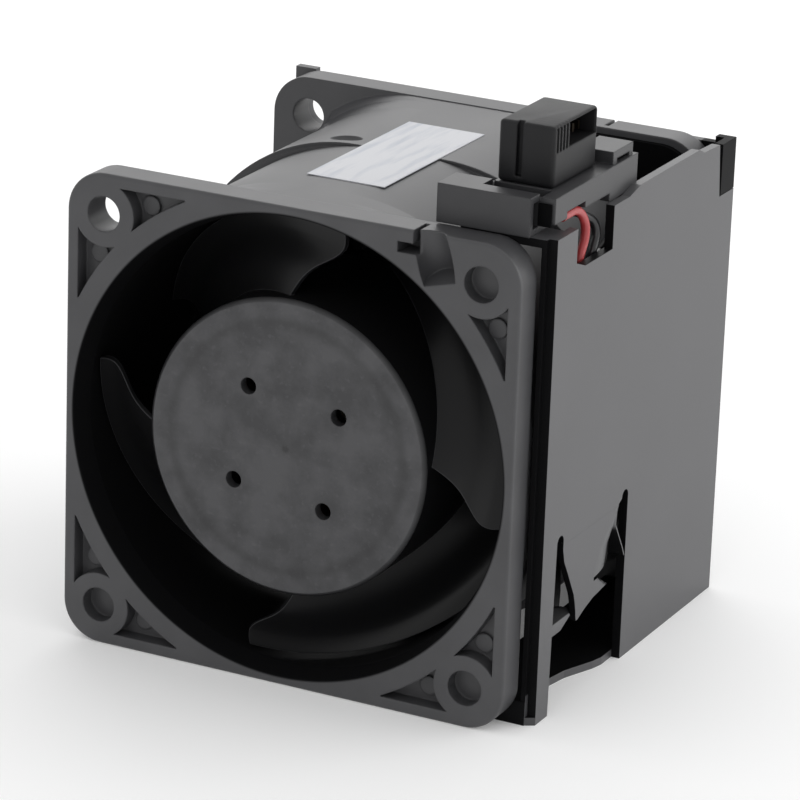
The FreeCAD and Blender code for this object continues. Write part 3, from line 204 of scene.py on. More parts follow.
def outer_skin(material, place):
    """1 on the wall's outer side and the roof, 0 on the inner side and the edges, where shade is painted."""
    normal = add_node(material, "TexCoord").outputs["Normal"]
    facing = add_node(material, "SeparateXYZ", links={0: normal})
    parts = add_node(material, "SeparateXYZ", links={0: place})
    start, end = ROOF_MM
    high_up = add_node(material, "MapRange", {"From Min": start * MM, "From Max": end * MM},
                       {"Value": parts.outputs["Z"]})
    roof = add_node(material, "Math", {"operation": "MULTIPLY"},
                    {0: facing.outputs["Z"], 1: high_up.outputs["Result"]})
    start, end = WALL_SIDE_MM
    far_out = add_node(material, "MapRange", {"From Min": start * MM, "From Max": end * MM},
                       {"Value": parts.outputs["X"]})
    start, end = WALL_FOOT_MM
    low_down = add_node(material, "MapRange", {"From Min": start * MM, "From Max": end * MM},
                        {"Value": parts.outputs["Z"]})
    outmost = add_node(material, "Math", {"operation": "MAXIMUM"},
                       {0: far_out.outputs["Result"], 1: low_down.outputs["Result"]})
    wall = add_node(material, "Math", {"operation": "MULTIPLY"},
                    {0: facing.outputs["X"], 1: outmost.outputs["Value"]})
    skin = add_node(material, "Math", {"operation": "MAXIMUM"}, {0: wall.outputs[0], 1: roof.outputs[0]})
    return add_node(material, "MapRange", {"From Min": 0.3, "From Max": 0.6},
                    {"Value": skin.outputs[0]}).outputs["Result"]


def beside_post(material, place):
    """0 from the post at the right end of the outlet frame rightwards, where the colour turns near black and
    the stop behind the latch slit gets painted shade, and 1 on the rest.
    """
    parts = add_node(material, "SeparateXYZ", links={0: place})
    start, end = POST_MM
    return add_node(material, "MapRange", {"From Min": start * MM, "From Max": end * MM},
                    {"Value": parts.outputs["X"]}).outputs["Result"]


print("bore ends at:", BORE_EDGE_MM, "mm, post begins at:", POST_MM, "mm")

# %% [markdown]
# ## The module's black plastics
#
# The parts come from different moulds and batches of plastic, and side by side each has its own shade.  One
# material could serve them all, but five keep the seams between the parts readable.

# %% Moulded plastics
# Housings: a neutral dark grey, whose satin turns the tops pale and leaves the front dark; the bore is
# painted near black as shade.
housing_plastic = moulded_plastic("glass_filled_nylon_moulded", "#39393b", "#424244", 0.42,
                                  darkened=(SHADE_AND_POST_BLACK, outside_duct), edge_mm=0.35)
# Carrier: a shade lighter and more even, so that the wall reads as one broad sheet; its inner side and edges
# are painted near black as shade.
carrier_plastic = moulded_plastic("carrier_abs_moulded", "#424244", "#4a4a4c", 0.40,
                                  darkened=(SHADE_AND_POST_BLACK, outer_skin), edge_mm=0.08, cloud_mm=15.0)
# Outlet frame and the stop behind the latch slit: grey like the housings, near black from the frame's post
# rightwards, which on the stop is painted shade.
dark_post_and_shade_plastic = moulded_plastic("abs_moulded_dark_post_and_shade", "#39393b", "#424244", 0.45,
                                darkened=(SHADE_AND_POST_BLACK, beside_post))
# Bracket: the housings' plastic from a finer mould, with a crisper rail.
bracket_plastic = moulded_plastic("bracket_nylon_moulded", "#2b2b2d", "#323234", 0.42, edge_mm=0.25)
# Connector: a harder, duller plastic, nearly black beside the bracket.
connector_plastic = moulded_plastic("connector_lcp_moulded", "#121214", "#18181a", 0.5, shine=0.3,
                                    edge_mm=0.5, cloud_mm=4.0)
print("moulded plastics:", [m.name for m in (housing_plastic, carrier_plastic, dark_post_and_shade_plastic, bracket_plastic,
                                             connector_plastic)])

# %% [markdown]
# ## Impeller plastic
#
# The impellers come from a duller mould than the housing, and their hub face shows mottling: grey patches
# of one to three millimetres where the glass fibres reach the skin.  Near the rim runs a darker ring, left
# by the mould's insert, and outside it the face is paler.  The blades lie in the duct's shade, painted in:
# they turn almost black and reflect less, and a painted highlight runs along their edges as a bright line.
# A dark dot marks the gate where the plastic came in.  All of this depends on the distance to the fan axis,
# so the recipe works that out and mixes by it.  Two noises of different size make the mottling.

# %% Impeller plastic
PATCH_MM = 5.0
SPECK_MM = 0.7
SPECK_DEPTH_MM = 0.006
# Radius that rounds the blades' edges and finds where their painted highlight goes.
EDGE_ROUND_MM = 0.2
DARK_RING_MM = (14.3, 15.6, 16.6)
GATE_MARK_MM = (0.3, 0.6)
# Painted highlight along the blades' edges.
EDGE_GLINT = "#404042"
BLADE_ROOT_MM = (18.0, 18.5)


def impeller_plastic(name, base, mottle, fibre, blade):
    """Dull moulded plastic: mottled hub face with a dark ring near its rim; blades painted near black as
    shade, with a painted highlight on their edges.
    """
    material, surface, place = new_material(name, IOR=1.5)
    patches = add_node(material, "TexNoise", {"Scale": 1 / (PATCH_MM * MM), "Detail": 6, "Roughness": 0.6},
                       {"Vector": place})
    specks = add_node(material, "TexNoise", {"Scale": 1 / (SPECK_MM * MM), "Detail": 3}, {"Vector": place})
    clear = add_node(material, "MapRange", {"From Min": 0.38, "From Max": 0.62},
                     {"Value": patches.outputs["Fac"]})
    colour = add_node(material, "Mix", {"data_type": "RGBA", 6: linear(base), 7: linear(mottle)},
                      {0: clear.outputs["Result"]})
    fine = add_node(material, "MapRange", {"From Min": 0.58, "From Max": 0.74, "To Max": 0.4},
                    {"Value": specks.outputs["Fac"]})
    speckled = add_node(material, "Mix", {"data_type": "RGBA", 7: linear(fibre)},
                        {0: fine.outputs["Result"], 6: colour.outputs[2]})
    radius = axis_distance(material, place)
    inner, middle, outer = DARK_RING_MM
    rise = add_node(material, "MapRange", {"From Min": inner * MM, "From Max": middle * MM, "To Max": 0.35,
                                           "interpolation_type": "SMOOTHSTEP"},
                    {"Value": radius})
    fall = add_node(material, "MapRange", {"From Min": middle * MM, "From Max": outer * MM, "To Min": 1.0,
                                           "To Max": 0.0, "interpolation_type": "SMOOTHSTEP"},
                    {"Value": radius})
    ring = add_node(material, "Math", {"operation": "MULTIPLY"}, {0: rise.outputs[0], 1: fall.outputs[0]})
    gate_start, gate_end = GATE_MARK_MM
    gate = add_node(material, "MapRange", {"From Min": gate_start * MM, "From Max": gate_end * MM,
                                           "To Min": 0.5, "To Max": 0.0}, {"Value": radius})
    marks = add_node(material, "Math", {"operation": "MAXIMUM"}, {0: ring.outputs[0], 1: gate.outputs[0]})
    ringed = add_node(material, "Mix", {"data_type": "RGBA", 7: linear(blade)},
                      {0: marks.outputs[0], 6: speckled.outputs[2]})
    # Past the blade root the colour turns to the blades' painted shade, and they reflect less.
    root, clear_of_hub = BLADE_ROOT_MM
    blades = add_node(material, "MapRange", {"From Min": root * MM, "From Max": clear_of_hub * MM},
                      {"Value": radius})
    bladed = add_node(material, "Mix", {"data_type": "RGBA", 7: linear(blade)},
                        {0: blades.outputs[0], 6: ringed.outputs[2]})
    satin = add_node(material, "MapRange", {"To Min": 0.5, "To Max": 0.3}, {"Value": blades.outputs[0]})
    reflecting = add_node(material, "MapRange", {"To Min": 0.5, "To Max": 0.2}, {"Value": blades.outputs[0]})
    edges = add_node(material, "Bevel", {"samples": 6, "Radius": EDGE_ROUND_MM * MM})
    flat_normal = add_node(material, "NewGeometry").outputs["Normal"]
    bend = add_node(material, "VectorMath", {"operation": "DOT_PRODUCT"},
                    {0: edges.outputs["Normal"], 1: flat_normal})
    sharp_edge = add_node(material, "MapRange", {"From Min": 0.97, "From Max": 0.85},
                    {"Value": bend.outputs["Value"]})
    # Painted highlight: where the rounded normal bends away from the flat one, the blades' edges turn paler.
    glint = add_node(material, "Math", {"operation": "MULTIPLY"}, {0: sharp_edge.outputs[0], 1: blades.outputs[0]})
    finished = add_node(material, "Mix", {"data_type": "RGBA", 7: linear(EDGE_GLINT)},
                        {0: glint.outputs[0], 6: bladed.outputs[2]})
    bump = add_node(material, "Bump", {"Strength": 1.0, "Distance": SPECK_DEPTH_MM * MM},
                    {"Height": specks.outputs["Fac"], "Normal": edges.outputs["Normal"]})
    feed(material, surface, Base_Color=finished.outputs[2], Roughness=satin.outputs["Result"],
         Specular_IOR_Level=reflecting.outputs["Result"], Normal=bump.outputs["Normal"])
    return material


# Impellers: a mottled mid grey face that catches the soft light, over blades painted near black as shade.
fan_plastic = impeller_plastic("glass_filled_pbt_moulded", "#303032", "#424244", "#4c4c4e", "#121213")
print("impeller plastic:", fan_plastic.name)

# %% [markdown]
# ## Metals inside the motors
#
# Little of them shows, through the hub's vents and past the blades, but each is finished as the real one:
# turned brass for the bearing tube, ground steel for shaft and races, drawn steel for the rotor cup and a
# stack of stamped sheets for the stator core, whose sheets are 0.5 mm thick.  Turned and ground parts carry
# rings round the axis, so their pattern is a noise stretched round it.

# %% Metals


def turned_metal(name, colour, roughness, line_mm, depth_mm):
    """Metal with fine lines running round the fan axis."""
    material, surface, place = new_material(name, Metallic=1.0, Roughness=roughness)
    parts = add_node(material, "SeparateXYZ", links={0: place})
    rings = add_node(material, "CombineXYZ",
                     links={"X": axis_distance(material, place), "Y": parts.outputs["Y"]})
    lines = add_node(material, "TexNoise", {"Scale": 1 / (line_mm * MM), "Detail": 3},
                     {"Vector": rings.outputs["Vector"]})
    tone = add_node(material, "Mix", {"data_type": "RGBA", "blend_type": "MULTIPLY", 0: 0.35,
                                      6: linear(colour)}, {7: lines.outputs["Color"]})
    bump = add_node(material, "Bump", {"Strength": 1.0, "Distance": depth_mm * MM},
                    {"Height": lines.outputs["Fac"]})
    feed(material, surface, Base_Color=tone.outputs[2], Normal=bump.outputs["Normal"])
    return material


# Bearing tube: lathe rings turn the brass into fine bright lines.
turned_brass = turned_metal("turned_brass", "#c9a45c", 0.3, 0.15, 0.004)
# Shaft and races: almost a mirror, the brightest metal here.
ground_steel = turned_metal("ground_bearing_steel", "#b9babd", 0.25, 0.12, 0.002)
# Rotor cup: blackened against rust, so the hub's vents stay dark.
drawn_steel = turned_metal("blackened_drawn_steel", "#2a2a2c", 0.5, 0.3, 0.003)
# Stator core: dull grey, with a line for each sheet.
laminated_steel = turned_metal("laminated_core_steel", "#6d6e72", 0.45, 0.5, 0.02)
# Contacts: tarnished in use, a brown glint in the socket.
contact_metal = turned_metal("tarnished_contact_bronze", "#4a4238", 0.4, 0.4, 0.002)
print("metals:", [m.name for m in (turned_brass, ground_steel, drawn_steel, laminated_steel, contact_metal)])

# %% [markdown]
# ## Small materials
#
# Bonded magnet, nylon insulators, enamelled copper wire, the circuit board's solder mask, the leads'
# insulation and the label.  The windings are wire 0.3 mm thick laid side by side, so a wave across the
# coil gives each turn its ridge; the wave texture repeats every pi / 10 at scale 1.  The insulation is
# smooth soft plastic, glossier than the housing.  The label is matt film, which passing air has streaked.

# %% Small materials


def plain_plastic(name, base, patch, roughness, patch_mm, depth_mm, shine=0.5):
    """Smooth plastic or rubber with faint patches and a soft bump."""
    material, surface, place = new_material(name, Roughness=roughness, IOR=1.5, Specular_IOR_Level=shine)
    patches = add_node(material, "TexNoise", {"Scale": 1 / (patch_mm * MM), "Detail": 4}, {"Vector": place})
    colour = add_node(material, "Mix", {"data_type": "RGBA", 6: linear(base), 7: linear(patch)},
                      {0: patches.outputs["Fac"]})
    bump = add_node(material, "Bump", {"Strength": 1.0, "Distance": depth_mm * MM},
                    {"Height": patches.outputs["Fac"]})
    feed(material, surface, Base_Color=colour.outputs[2], Normal=bump.outputs["Normal"])
    return material


STREAK_MM = (1.1, 9)


def streaked_film(name, base, streak):
    """Matt white film with faint streaks along the duct, left by years of passing air."""
    material, surface, place = new_material(name, Roughness=0.5, IOR=1.5)
    wide, long = STREAK_MM
    drawn_out = add_node(material, "Mapping", {"Scale": (1 / (wide * MM), 1 / (long * MM), 1 / (wide * MM))},
                         {"Vector": place})
    streaks = add_node(material, "TexNoise", {"Scale": 1.0, "Detail": 3},
                       {"Vector": drawn_out.outputs["Vector"]})
    strength = add_node(material, "MapRange", {"From Min": 0.48, "From Max": 0.72, "To Max": 0.8},
                        {"Value": streaks.outputs["Fac"]})
    colour = add_node(material, "Mix", {"data_type": "RGBA", 6: linear(base), 7: linear(streak)},
                      {0: strength.outputs["Result"]})
    feed(material, surface, Base_Color=colour.outputs[2])
    return material


def wound_wire(name, light, dark, wire_mm):
    """Enamelled wire wound side by side."""
    material, surface, place = new_material(name, Roughness=0.3, Metallic=0.6, Coat_Weight=0.6)
    turns = add_node(material, "TexWave", {"Scale": math.pi / (10 * wire_mm * MM), "Distortion": 0.6,
                                           "bands_direction": "Y"}, {"Vector": place})
    colour = add_node(material, "Mix", {"data_type": "RGBA", 6: linear(dark), 7: linear(light)},
                      {0: turns.outputs["Fac"]})
    bump = add_node(material, "Bump", {"Strength": 1.0, "Distance": wire_mm * MM / 3},
                    {"Height": turns.outputs["Fac"]})
    feed(material, surface, Base_Color=colour.outputs[2], Normal=bump.outputs["Normal"])
    return material


# Magnet: brownish black, matt as slate.
bonded_magnet = plain_plastic("bonded_ferrite", "#2c2a29", "#383533", 0.6, 1.2, 0.01)
# Insulators: undyed nylon, cream and slightly waxy.
insulator_nylon = plain_plastic("natural_nylon", "#d8d3c2", "#e2dece", 0.45, 3.0, 0.004)
# Windings: orange ridges under clear enamel.
copper_wire = wound_wire("enamelled_copper", "#c46a34", "#7c3a1a", 0.3)
# Circuit board: deep green and glossy.
solder_mask = plain_plastic("green_solder_mask", "#14532b", "#1a6033", 0.3, 2.0, 0.006)
# Leads: soft red and black, each with a narrow highlight along its length.
red_insulation = plain_plastic("red_pvc_insulation", "#9a3336", "#a93f40", 0.32, 1.5, 0.004)
black_insulation = plain_plastic("black_pvc_insulation", "#1b1b1d", "#232325", 0.3, 1.5, 0.004)
# Label: the one pale thing on the module, a cool off-white.
label_film = streaked_film("white_polyester_label", "#c6c7cb", "#a9aeb8")
print("small materials:", [m.name for m in (bonded_magnet, insulator_nylon, copper_wire, solder_mask,
                                            red_insulation, black_insulation, label_film)])

# %% [markdown]
# ## Dress the CAD pieces
#
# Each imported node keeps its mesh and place, and only its material slot is filled.  The table reads like
# a parts list; names that occur in both fans are given once.  Faces that meet at less than 35 degrees are
# shaded as one surface, which leaves round things round and real corners crisp.

# %% Dress the pieces
FINISHES = {
    "housing": housing_plastic, "impeller": fan_plastic, "rotor_cup": drawn_steel,
    "magnet_ring": bonded_magnet, "shaft": ground_steel, "shaft_clip": insulator_nylon,
    "preload_washer": ground_steel, "inner_races": ground_steel, "outer_races": ground_steel,
    "bearing_tube": turned_brass, "stator_core": laminated_steel, "stator_insulators": insulator_nylon,
    "windings": copper_wire, "circuit_board": solder_mask, "supply_lead": red_insulation,
    "return_lead": black_insulation, "carrier": carrier_plastic, "latch_finger": carrier_plastic,
    "outlet_frame": dark_post_and_shade_plastic, "connector_bracket": bracket_plastic,
    "connector_housing": connector_plastic, "connector_contacts": contact_metal, "label": label_film,
}
SMOOTH_BELOW = math.radians(35)


def dress(obj, material):
    """Give a piece its finish and smooth shading across its soft edges."""
    obj.data.materials.clear()
    obj.data.materials.append(material)
    obj.data.shade_smooth()
    obj.data.set_sharp_from_angle(angle=SMOOTH_BELOW)


for name, obj in nodes.items():
    short_name = name.removeprefix("front_").removeprefix("rear_")
    dress(obj, FINISHES[short_name])
print("dressed:", len(nodes))

# %% [markdown]
# ## Helpers for new pieces
#
# A few thin pieces have a shape that changes from row to row.  Each is made as a sheet: rows of places on
# its outer side, and the same rows again on its inner side, joined round the edge into a closed mesh.
# Pushing and pulling a grid by hand would do as well, but rows worked out from a table keep real sizes.

# %% Helpers for new pieces


def steps(start, end, count):
    """Evenly spaced values from start to end, both included."""
    return [start + (end - start) * i / count for i in range(count + 1)]


def sheet(rows, through):
    """Closed mesh from rows of places on the outer side; through leads to the inner side."""
    bm = bmesh.new()
    outer = [[bm.verts.new(Vector(p) * MM) for p in row] for row in rows]
    inner = [[bm.verts.new((Vector(p) + Vector(through)) * MM) for p in row] for row in rows]
    last, end = len(rows) - 1, len(rows[0]) - 1
    for i in range(last):
        for j in range(end):
            bm.faces.new((outer[i][j], outer[i + 1][j], outer[i + 1][j + 1], outer[i][j + 1]))
            bm.faces.new((inner[i][j], inner[i][j + 1], inner[i + 1][j + 1], inner[i + 1][j]))
        bm.faces.new((outer[i][0], inner[i][0], inner[i + 1][0], outer[i + 1][0]))
        bm.faces.new((outer[i][end], outer[i + 1][end], inner[i + 1][end], inner[i][end]))
    for j in range(end):
        bm.faces.new((outer[0][j], outer[0][j + 1], inner[0][j + 1], inner[0][j]))
        bm.faces.new((outer[last][j], inner[last][j], inner[last][j + 1], outer[last][j + 1]))
    bmesh.ops.recalc_face_normals(bm, faces=bm.faces)
    return bm


def to_mesh(name, bm):
    """Turn a bmesh into a mesh."""
    mesh = bpy.data.meshes.new(name)
    bm.to_mesh(mesh)
    bm.free()
    return mesh


def add_object(name, data):
    """A new object in the scene."""
    obj = bpy.data.objects.new(name, data)
    bpy.context.scene.collection.objects.link(obj)
    return obj


def new_piece(name, mesh, material):
    """A finished piece that isn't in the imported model."""
    obj = add_object(name, mesh)
    dress(obj, material)
    return obj


def stand_in(name, mesh, material, node, body):
    """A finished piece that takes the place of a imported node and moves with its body."""
    obj = new_piece(name, mesh, material)
    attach(obj, body)
    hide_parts(node)
    return obj


print("five values from 0 to 1:", steps(0, 1, 4))

# %% [markdown]
# ## Latch finger
#
# The finger is part of the carrier's moulding: two slits set it free and a thin line across its top bends.
# A thumb presses it in through a hollow that deepens towards the ledge and is steep at the rear, where a
# narrow rim is left beside the slit.  The mesh is a sheet with this relief: each row across the finger has
# its own front and rear edge, and sinks where the hollow is.  One more row is tucked into the wall above,
# where the finger bends.  A sheet of rows keeps the soft side of the hollow soft and its rim sharp, which
# a cone cut from a plate doesn't.

# %% Relief of the finger
# Height, front edge and rear edge of each row
FINGER_EDGES_MM = [(-8.96, 10.7, 26.6), (-9.6, 10.7, 26.2), (-11.3, 11.2, 26.0), (-13.0, 12.3, 27.1),
                   (-15.0, 13.5, 28.4), (-16.5, 14.4, 29.2), (-17.6, 14.8, 26.6), (-18.4, 15.0, 24.5),
                   (-18.7, 15.1, 20.5), (-19.5, 15.2, 17.6), (-20.2, 15.4, 15.8)]
# Height, place across the finger where the hollow starts, and its depth
HOLLOW_MM = [(-8.96, 26.6, 0.0), (-11.2, 24.0, 0.2), (-13.5, 21.0, 1.5), (-16.4, 19.3, 2.3),
             (-16.5, 21.2, 2.3), (-18.4, 24.4, 2.3), (-20.2, 24.5, 2.3)]
# Height of the ledge; above it the hollow starts softly and the rim stands
LEDGE_MM = -16.4


def read_table(table, height):
    """Values of a table at a height, on straight lines between its rows, which run downwards."""
    for above, below in zip(table, table[1:]):
        if height >= below[0]:
            break
    share = min(1, max(0, (above[0] - height) / (above[0] - below[0])))
    return [a + (b - a) * share for a, b in zip(above[1:], below[1:])]


def hollow(along, start, end, depth, soft):
    """Depth of the hollow at a place across the finger; it starts softly or with a step."""
    share = (along - start) / max(end - start, 0.01)
    if share <= 0:
        return 0.0
    if not soft:
        return depth
    return depth * share * share


print("finger:", round(FINGER_EDGES_MM[0][0] - FINGER_EDGES_MM[-1][0], 2), "mm long")

# %% Latch finger
FINGER_ROWS = 48
FINGER_COLUMNS = 64
FINGER_SHEET_MM = 0.8
TUCK_MM = 0.3
RIM_COLUMNS = 2
finger_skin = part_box("latch_finger")[1].x / MM
finger_top, finger_foot = FINGER_EDGES_MM[0][0], FINGER_EDGES_MM[-1][0]
tuck = [(finger_skin - TUCK_MM, along, finger_top + TUCK_MM)
        for along in steps(*FINGER_EDGES_MM[0][1:], FINGER_COLUMNS)]
finger_rows = [tuck]
for height in steps(finger_top, finger_foot, FINGER_ROWS):
    front, rear = read_table(FINGER_EDGES_MM, height)
    start, depth = read_table(HOLLOW_MM, height)
    row = []
    for j, along in enumerate(steps(front, rear, FINGER_COLUMNS)):
        on_rim = j > FINGER_COLUMNS - RIM_COLUMNS and height > LEDGE_MM
        sink = 0.0 if on_rim else hollow(along, start, rear, depth, height > LEDGE_MM)
        row.append((finger_skin - sink, along, height))
    finger_rows.append(row)
inwards = (-FINGER_SHEET_MM, 0, 0)
latch = stand_in("latch_finger_skin", to_mesh("latch_finger_skin", sheet(finger_rows, inwards)),
                 carrier_plastic, "latch_finger", "latch")
print("latch finger:", len(latch.data.polygons), "faces")

# %% [markdown]
# ## Stop behind the slit
#
# Behind the front slit stands a stop that keeps the finger from being pressed in too far.  It is a flat rib
# of the carrier's moulding, painted near black as shade like the inside of the wall, and its foot bends
# outwards into the light.  It could be a plate bent by hand; here each row has its own distance behind the
# wall's outer side, which gives the bend directly.

# %% Stop
# Height, front edge, rear edge and distance behind the wall's outer side of each row
STOP_MM = [(-8.0, 8.4, 13.0, 1.65), (-12.0, 8.3, 14.0, 1.75),
           (-16.5, 8.3, 15.0, 2.0), (-19.0, 8.3, 15.5, 2.3)]
STOP_FOOT_MM = [(-17.6, 9.6, 11.6, 1.6), (-18.4, 9.3, 14.6, 0.9), (-19.2, 8.8, 14.4, 0.35),
                (-20.2, 8.5, 11.5, 0.25)]
STOP_COLUMNS = 8


def plate_rows(table):
    """Rows of a plate with straight edges."""
    return [[(finger_skin - behind, along, height) for along in steps(front, rear, STOP_COLUMNS)]
            for height, front, rear, behind in table]


for name, table, material in (("latch_stop", STOP_MM, dark_post_and_shade_plastic),
                              ("latch_stop_foot", STOP_FOOT_MM, carrier_plastic)):
    stop = new_piece(name, to_mesh(name, sheet(plate_rows(table), inwards)), material)
    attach(stop, "frame")
    print(name + ":", len(stop.data.polygons), "faces")

# %% [markdown]
# ## Painted shade in the corner
#
# A near-black sheet stands in front of the outlet fan's flange, in the corner between duct and wall, and
# paints the shade that falls there.  Its outer corner follows the flange's and its inner side is hollowed
# to clear the round body.

# %% Painted shade in the corner
CORNER_SHADE_MM = {"left": 12.5, "right": 29.4, "foot": 17.0, "top": 29.2, "corner": 5.0, "hollow": 30.3,
          "thick": 0.8, "clear": 0.05}
# Thickness of the outlet fan's flange, which the corner's painted shade lies against
FLANGE_MM = 4.2
CORNER_SHADE_ROWS = 24
CORNER_SHADE_COLUMNS = 12
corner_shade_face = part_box("rear_housing")[1].y / MM - FLANGE_MM - CORNER_SHADE_MM["clear"] - CORNER_SHADE_MM["thick"]
corner_shade_rows = []
for i in range(CORNER_SHADE_ROWS + 1):
    height = CORNER_SHADE_MM["foot"] + (CORNER_SHADE_MM["top"] - CORNER_SHADE_MM["foot"]) * math.sin(math.pi / 2 * i / CORNER_SHADE_ROWS)
    rise = max(0.0, height - (CORNER_SHADE_MM["top"] - CORNER_SHADE_MM["corner"]))
    corner_shade_right = CORNER_SHADE_MM["right"] - CORNER_SHADE_MM["corner"] + math.sqrt(CORNER_SHADE_MM["corner"] ** 2 - rise ** 2)
    corner_shade_left = max(CORNER_SHADE_MM["left"], math.sqrt(CORNER_SHADE_MM["hollow"] ** 2 - height ** 2))
    corner_shade_rows.append([(across, corner_shade_face, height) for across in steps(corner_shade_left, corner_shade_right, CORNER_SHADE_COLUMNS)])
# Painted shade: near black with almost no highlight, so it reads as a dark hole.
shade_sheet_black = plain_plastic("painted_shade_black", "#080809", "#0d0d0e", 0.9, 0.8, 0.05, shine=0.05)
corner_shade = new_piece("corner_painted_shade", to_mesh("corner_painted_shade", sheet(corner_shade_rows, (0, CORNER_SHADE_MM["thick"], 0))), shade_sheet_black)
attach(corner_shade, "frame")
print("corner pad at Y:", round(corner_shade_face, 2), "mm")

# %% [markdown]
# ## Painted shade under the rail
#
# Between the bracket's front block and its rail lies a hollow in shade, and a small sheet of the same near
# black paints that shade.  Its face bulges by a tenth of a millimetre, which keeps its edges soft.  It is
# made like the corner's painted shade, with the bulge worked out.

# %% Painted shade under the rail
RAIL_SHADE_MM = {"left": 28.95, "right": 30.6, "foot": 31.2, "top": 33.9, "face": 5.95, "thick": 0.3,
             "bulge": 0.1}
RAIL_SHADE_STEPS = 12
rail_shade_rows = []
for up in steps(0, 1, RAIL_SHADE_STEPS):
    row = []
    for across in steps(0, 1, RAIL_SHADE_STEPS):
        # The product peaks at 1/16 in the middle.
        dome = RAIL_SHADE_MM["bulge"] * 16 * up * (1 - up) * across * (1 - across)
        row.append((RAIL_SHADE_MM["left"] + across * (RAIL_SHADE_MM["right"] - RAIL_SHADE_MM["left"]),
                    RAIL_SHADE_MM["face"] - dome,
                    RAIL_SHADE_MM["foot"] + up * (RAIL_SHADE_MM["top"] - RAIL_SHADE_MM["foot"])))
    rail_shade_rows.append(row)
rail_shade_mesh = to_mesh("rail_painted_shade", sheet(rail_shade_rows, (0, RAIL_SHADE_MM["thick"], 0)))
rail_painted_shade = new_piece("rail_painted_shade", rail_shade_mesh, shade_sheet_black)
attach(rail_painted_shade, "frame")
print("rail buffer:", len(rail_painted_shade.data.polygons), "faces")

# %% [markdown]
# ## Connector housing
#
# The socket is moulded in one piece with its key: a groove in the front face stops the plug from going in
# the wrong way round.  Its corners are rounded so that it leaves the mould.  The socket opens to the
# right, under a thin roof, and thin ribs part the first contacts.  The block is bevelled first and the
# groove and socket are cut after that, which leaves their own edges crisp, as on the real piece.

# %% Bevelled block
CORNER_MM = 0.5
CORNER_STEPS = 4
# The shell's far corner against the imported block's: further right, and short of its back
FAR_CORNER_MM = (0.2, -1.1, 0)


def add_block(bm, low, high):
    """Add a box between two corners, in millimetres; returns its edges."""
    middle, size = (low + high) / 2, high - low
    place = Matrix.Translation(middle * MM) @ Matrix.Diagonal((*(size * MM), 1))
    made = bmesh.ops.create_cube(bm, size=1, matrix=place)
    return list({edge for vertex in made["verts"] for edge in vertex.link_edges})


plug_low, plug_high = (Vector(corner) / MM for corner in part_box("connector_housing"))
plug_high += Vector(FAR_CORNER_MM)
body_bm = bmesh.new()
block_edges = add_block(body_bm, plug_low, plug_high)
bmesh.ops.bevel(body_bm, geom=block_edges, offset=CORNER_MM * MM, segments=CORNER_STEPS, profile=0.5,
                affect="EDGES")
plug_body = add_object("plug_body", to_mesh("plug_body", body_bm))
print("block:", [round(v, 2) for v in plug_high - plug_low], "mm")

# %% Groove and socket
# How far the cutting blocks reach past the surface
OVERSHOOT_MM = 1
GROOVE_MM = {"from_left": 2.3, "width": 0.8, "depth": 0.8, "foot": 0.9}
SOCKET_MM = {"floor": 4.2, "roof": 0.25, "end_wall": 0.5, "depth": 3.4}
RIB_COUNT = 4
RIB_MM = 0.3
SLOT_MM = 0.55

cut_bm = bmesh.new()
groove_left = plug_low.x + GROOVE_MM["from_left"]
add_block(cut_bm, Vector((groove_left, plug_low.y - OVERSHOOT_MM, plug_low.z + GROOVE_MM["foot"])),
          Vector((groove_left + GROOVE_MM["width"], plug_low.y + GROOVE_MM["depth"],
                  plug_high.z + OVERSHOOT_MM)))
socket_low = Vector((plug_high.x - SOCKET_MM["depth"], plug_low.y + SOCKET_MM["end_wall"],
                     plug_low.z + SOCKET_MM["floor"]))
socket_high = Vector((plug_high.x + OVERSHOOT_MM, plug_high.y - SOCKET_MM["end_wall"],
                      plug_high.z - SOCKET_MM["roof"]))
for i in range(RIB_COUNT):
    slot_front = socket_low.y + i * (SLOT_MM + RIB_MM)
    add_block(cut_bm, Vector((socket_low.x, slot_front, socket_low.z)),
              Vector((socket_high.x, slot_front + SLOT_MM, socket_high.z)))
open_front = socket_low.y + RIB_COUNT * (SLOT_MM + RIB_MM)
add_block(cut_bm, Vector((socket_low.x, open_front, socket_low.z)), socket_high)
cutters = add_object("plug_cutters", to_mesh("plug_cutters", cut_bm))
difference = plug_body.modifiers.new("openings", "BOOLEAN")
difference.operation = "DIFFERENCE"
difference.solver = "EXACT"
difference.object = cutters
evaluated = plug_body.evaluated_get(bpy.context.evaluated_depsgraph_get())
plug_mesh = bpy.data.meshes.new_from_object(evaluated)
bpy.data.objects.remove(cutters)
bpy.data.objects.remove(plug_body)
plug = stand_in("connector_shell", plug_mesh, connector_plastic, "connector_housing", "frame")
print("connector shell:", len(plug.data.polygons), "faces")

# %% [markdown]
# ## Floor and world
#
# A plain pale floor and a white world keep the outline clear.  The floor glows by a tenth, as a light table
# does, which makes it plain white while it still takes the shadow.  A bent paper sweep would do the same in
# a studio; a flat floor under a white world needs no bend, because nothing shows where it ends.

# %% Floor and world
FLOOR_COLOUR = "#f7f7f7"
FLOOR_GLOW = 0.1
FLOOR_SIZE = 6.0
WORLD_LIGHT = 0.85

bpy.ops.mesh.primitive_plane_add(size=FLOOR_SIZE, location=(0, 0, cad_box[0].z))
floor = bpy.context.object
floor.name = "floor"
floor_paint = new_material("matt_floor_paint", Base_Color=linear(FLOOR_COLOUR), Roughness=0.9,
                           Emission_Color=linear("#ffffff"), Emission_Strength=FLOOR_GLOW)[0]
floor.data.materials.append(floor_paint)

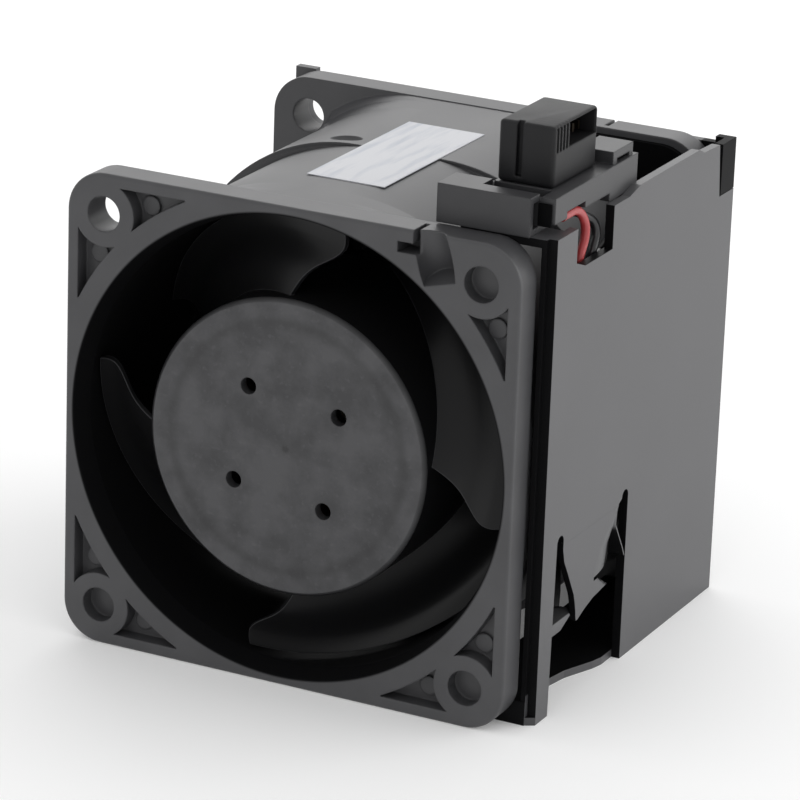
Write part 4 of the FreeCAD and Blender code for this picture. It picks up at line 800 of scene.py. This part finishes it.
world = bpy.data.worlds.new("studio")
bpy.context.scene.world = world
world.use_nodes = True
background = world.node_tree.nodes["Background"]
background.inputs["Color"].default_value = (1, 1, 1, 1)
background.inputs["Strength"].default_value = WORLD_LIGHT
print("world light:", WORLD_LIGHT, "floor:", FLOOR_COLOUR)

# %% [markdown]
# ## Lights
#
# Black plastic is mostly seen by what it reflects, so the light is large and soft.  The tops mirror what
# stands behind and above, and get a wide panel there.  The carrier wall mirrors the floor behind it, and a
# panel at the right adds to that.  The front gets little more than the world and the floor, from a weak
# panel beside the camera.  Small lamps would do for a matt thing, but here they'd show as hard spots.

# %% Lights
CENTRE = (cad_box[0] + cad_box[1]) / 2


def panel(name, place, size, brightness):
    """A soft rectangular lamp that faces the module; brightness 1 looks as bright as white paper."""
    lamp = bpy.data.lights.new(name, "AREA")
    lamp.shape = "RECTANGLE"
    lamp.size, lamp.size_y = size
    lamp.energy = brightness * math.pi * size[0] * size[1]
    obj = add_object(name, lamp)
    obj.location = place
    obj.rotation_euler = (CENTRE - Vector(place)).to_track_quat("-Z", "Y").to_euler()
    print(name, "watts:", round(lamp.energy, 2))


panel("back_panel", (-0.35, 0.8, 0.42), (0.9, 0.5), 1.25)
panel("right_panel", (0.75, 0.45, 0.28), (0.8, 0.6), 2.0)
panel("front_panel", (0.35, -0.9, 0.1), (0.7, 0.5), 0.6)

# %% [markdown]
# ## Camera
#
# The camera stands in front, to the right and above, with a long lens, so that the duct keeps its shape.
# Its place is given in steps from the fan axis at the inlet: back along the viewing direction, then across
# and up in the view's own directions.  Aiming it at a target would turn it with every step; this way it
# slides without turning.

# %% Camera
VIEW_AZIMUTH = math.radians(26.28)
VIEW_ELEVATION = math.radians(19.32)
VIEW_ROLL = math.radians(2.09)
STEP_BACK_MM = 534.8
STEP_RIGHT_MM = 13.83
STEP_UP_MM = 5.96
LENS_MM = 203.3
SENSOR_MM = 36

back = Vector((math.sin(VIEW_AZIMUTH) * math.cos(VIEW_ELEVATION),
               -math.cos(VIEW_AZIMUTH) * math.cos(VIEW_ELEVATION), math.sin(VIEW_ELEVATION)))
level_right = Vector((math.cos(VIEW_AZIMUTH), math.sin(VIEW_AZIMUTH), 0))
level_up = back.cross(level_right)
right = level_right * math.cos(VIEW_ROLL) + level_up * math.sin(VIEW_ROLL)
up = back.cross(right)
camera = add_object("camera", bpy.data.cameras.new("camera"))
camera.data.lens = LENS_MM
camera.data.sensor_width = SENSOR_MM
axes = Matrix((right, up, back)).transposed()
camera.matrix_world = Matrix.Translation(
    (back * STEP_BACK_MM + right * STEP_RIGHT_MM + up * STEP_UP_MM) * MM) @ axes.to_4x4()
bpy.context.scene.camera = camera
bpy.context.scene.view_settings.view_transform = "Standard"
print("camera at:", [round(c, 3) for c in camera.matrix_world.translation], "lens:", LENS_MM, "mm")
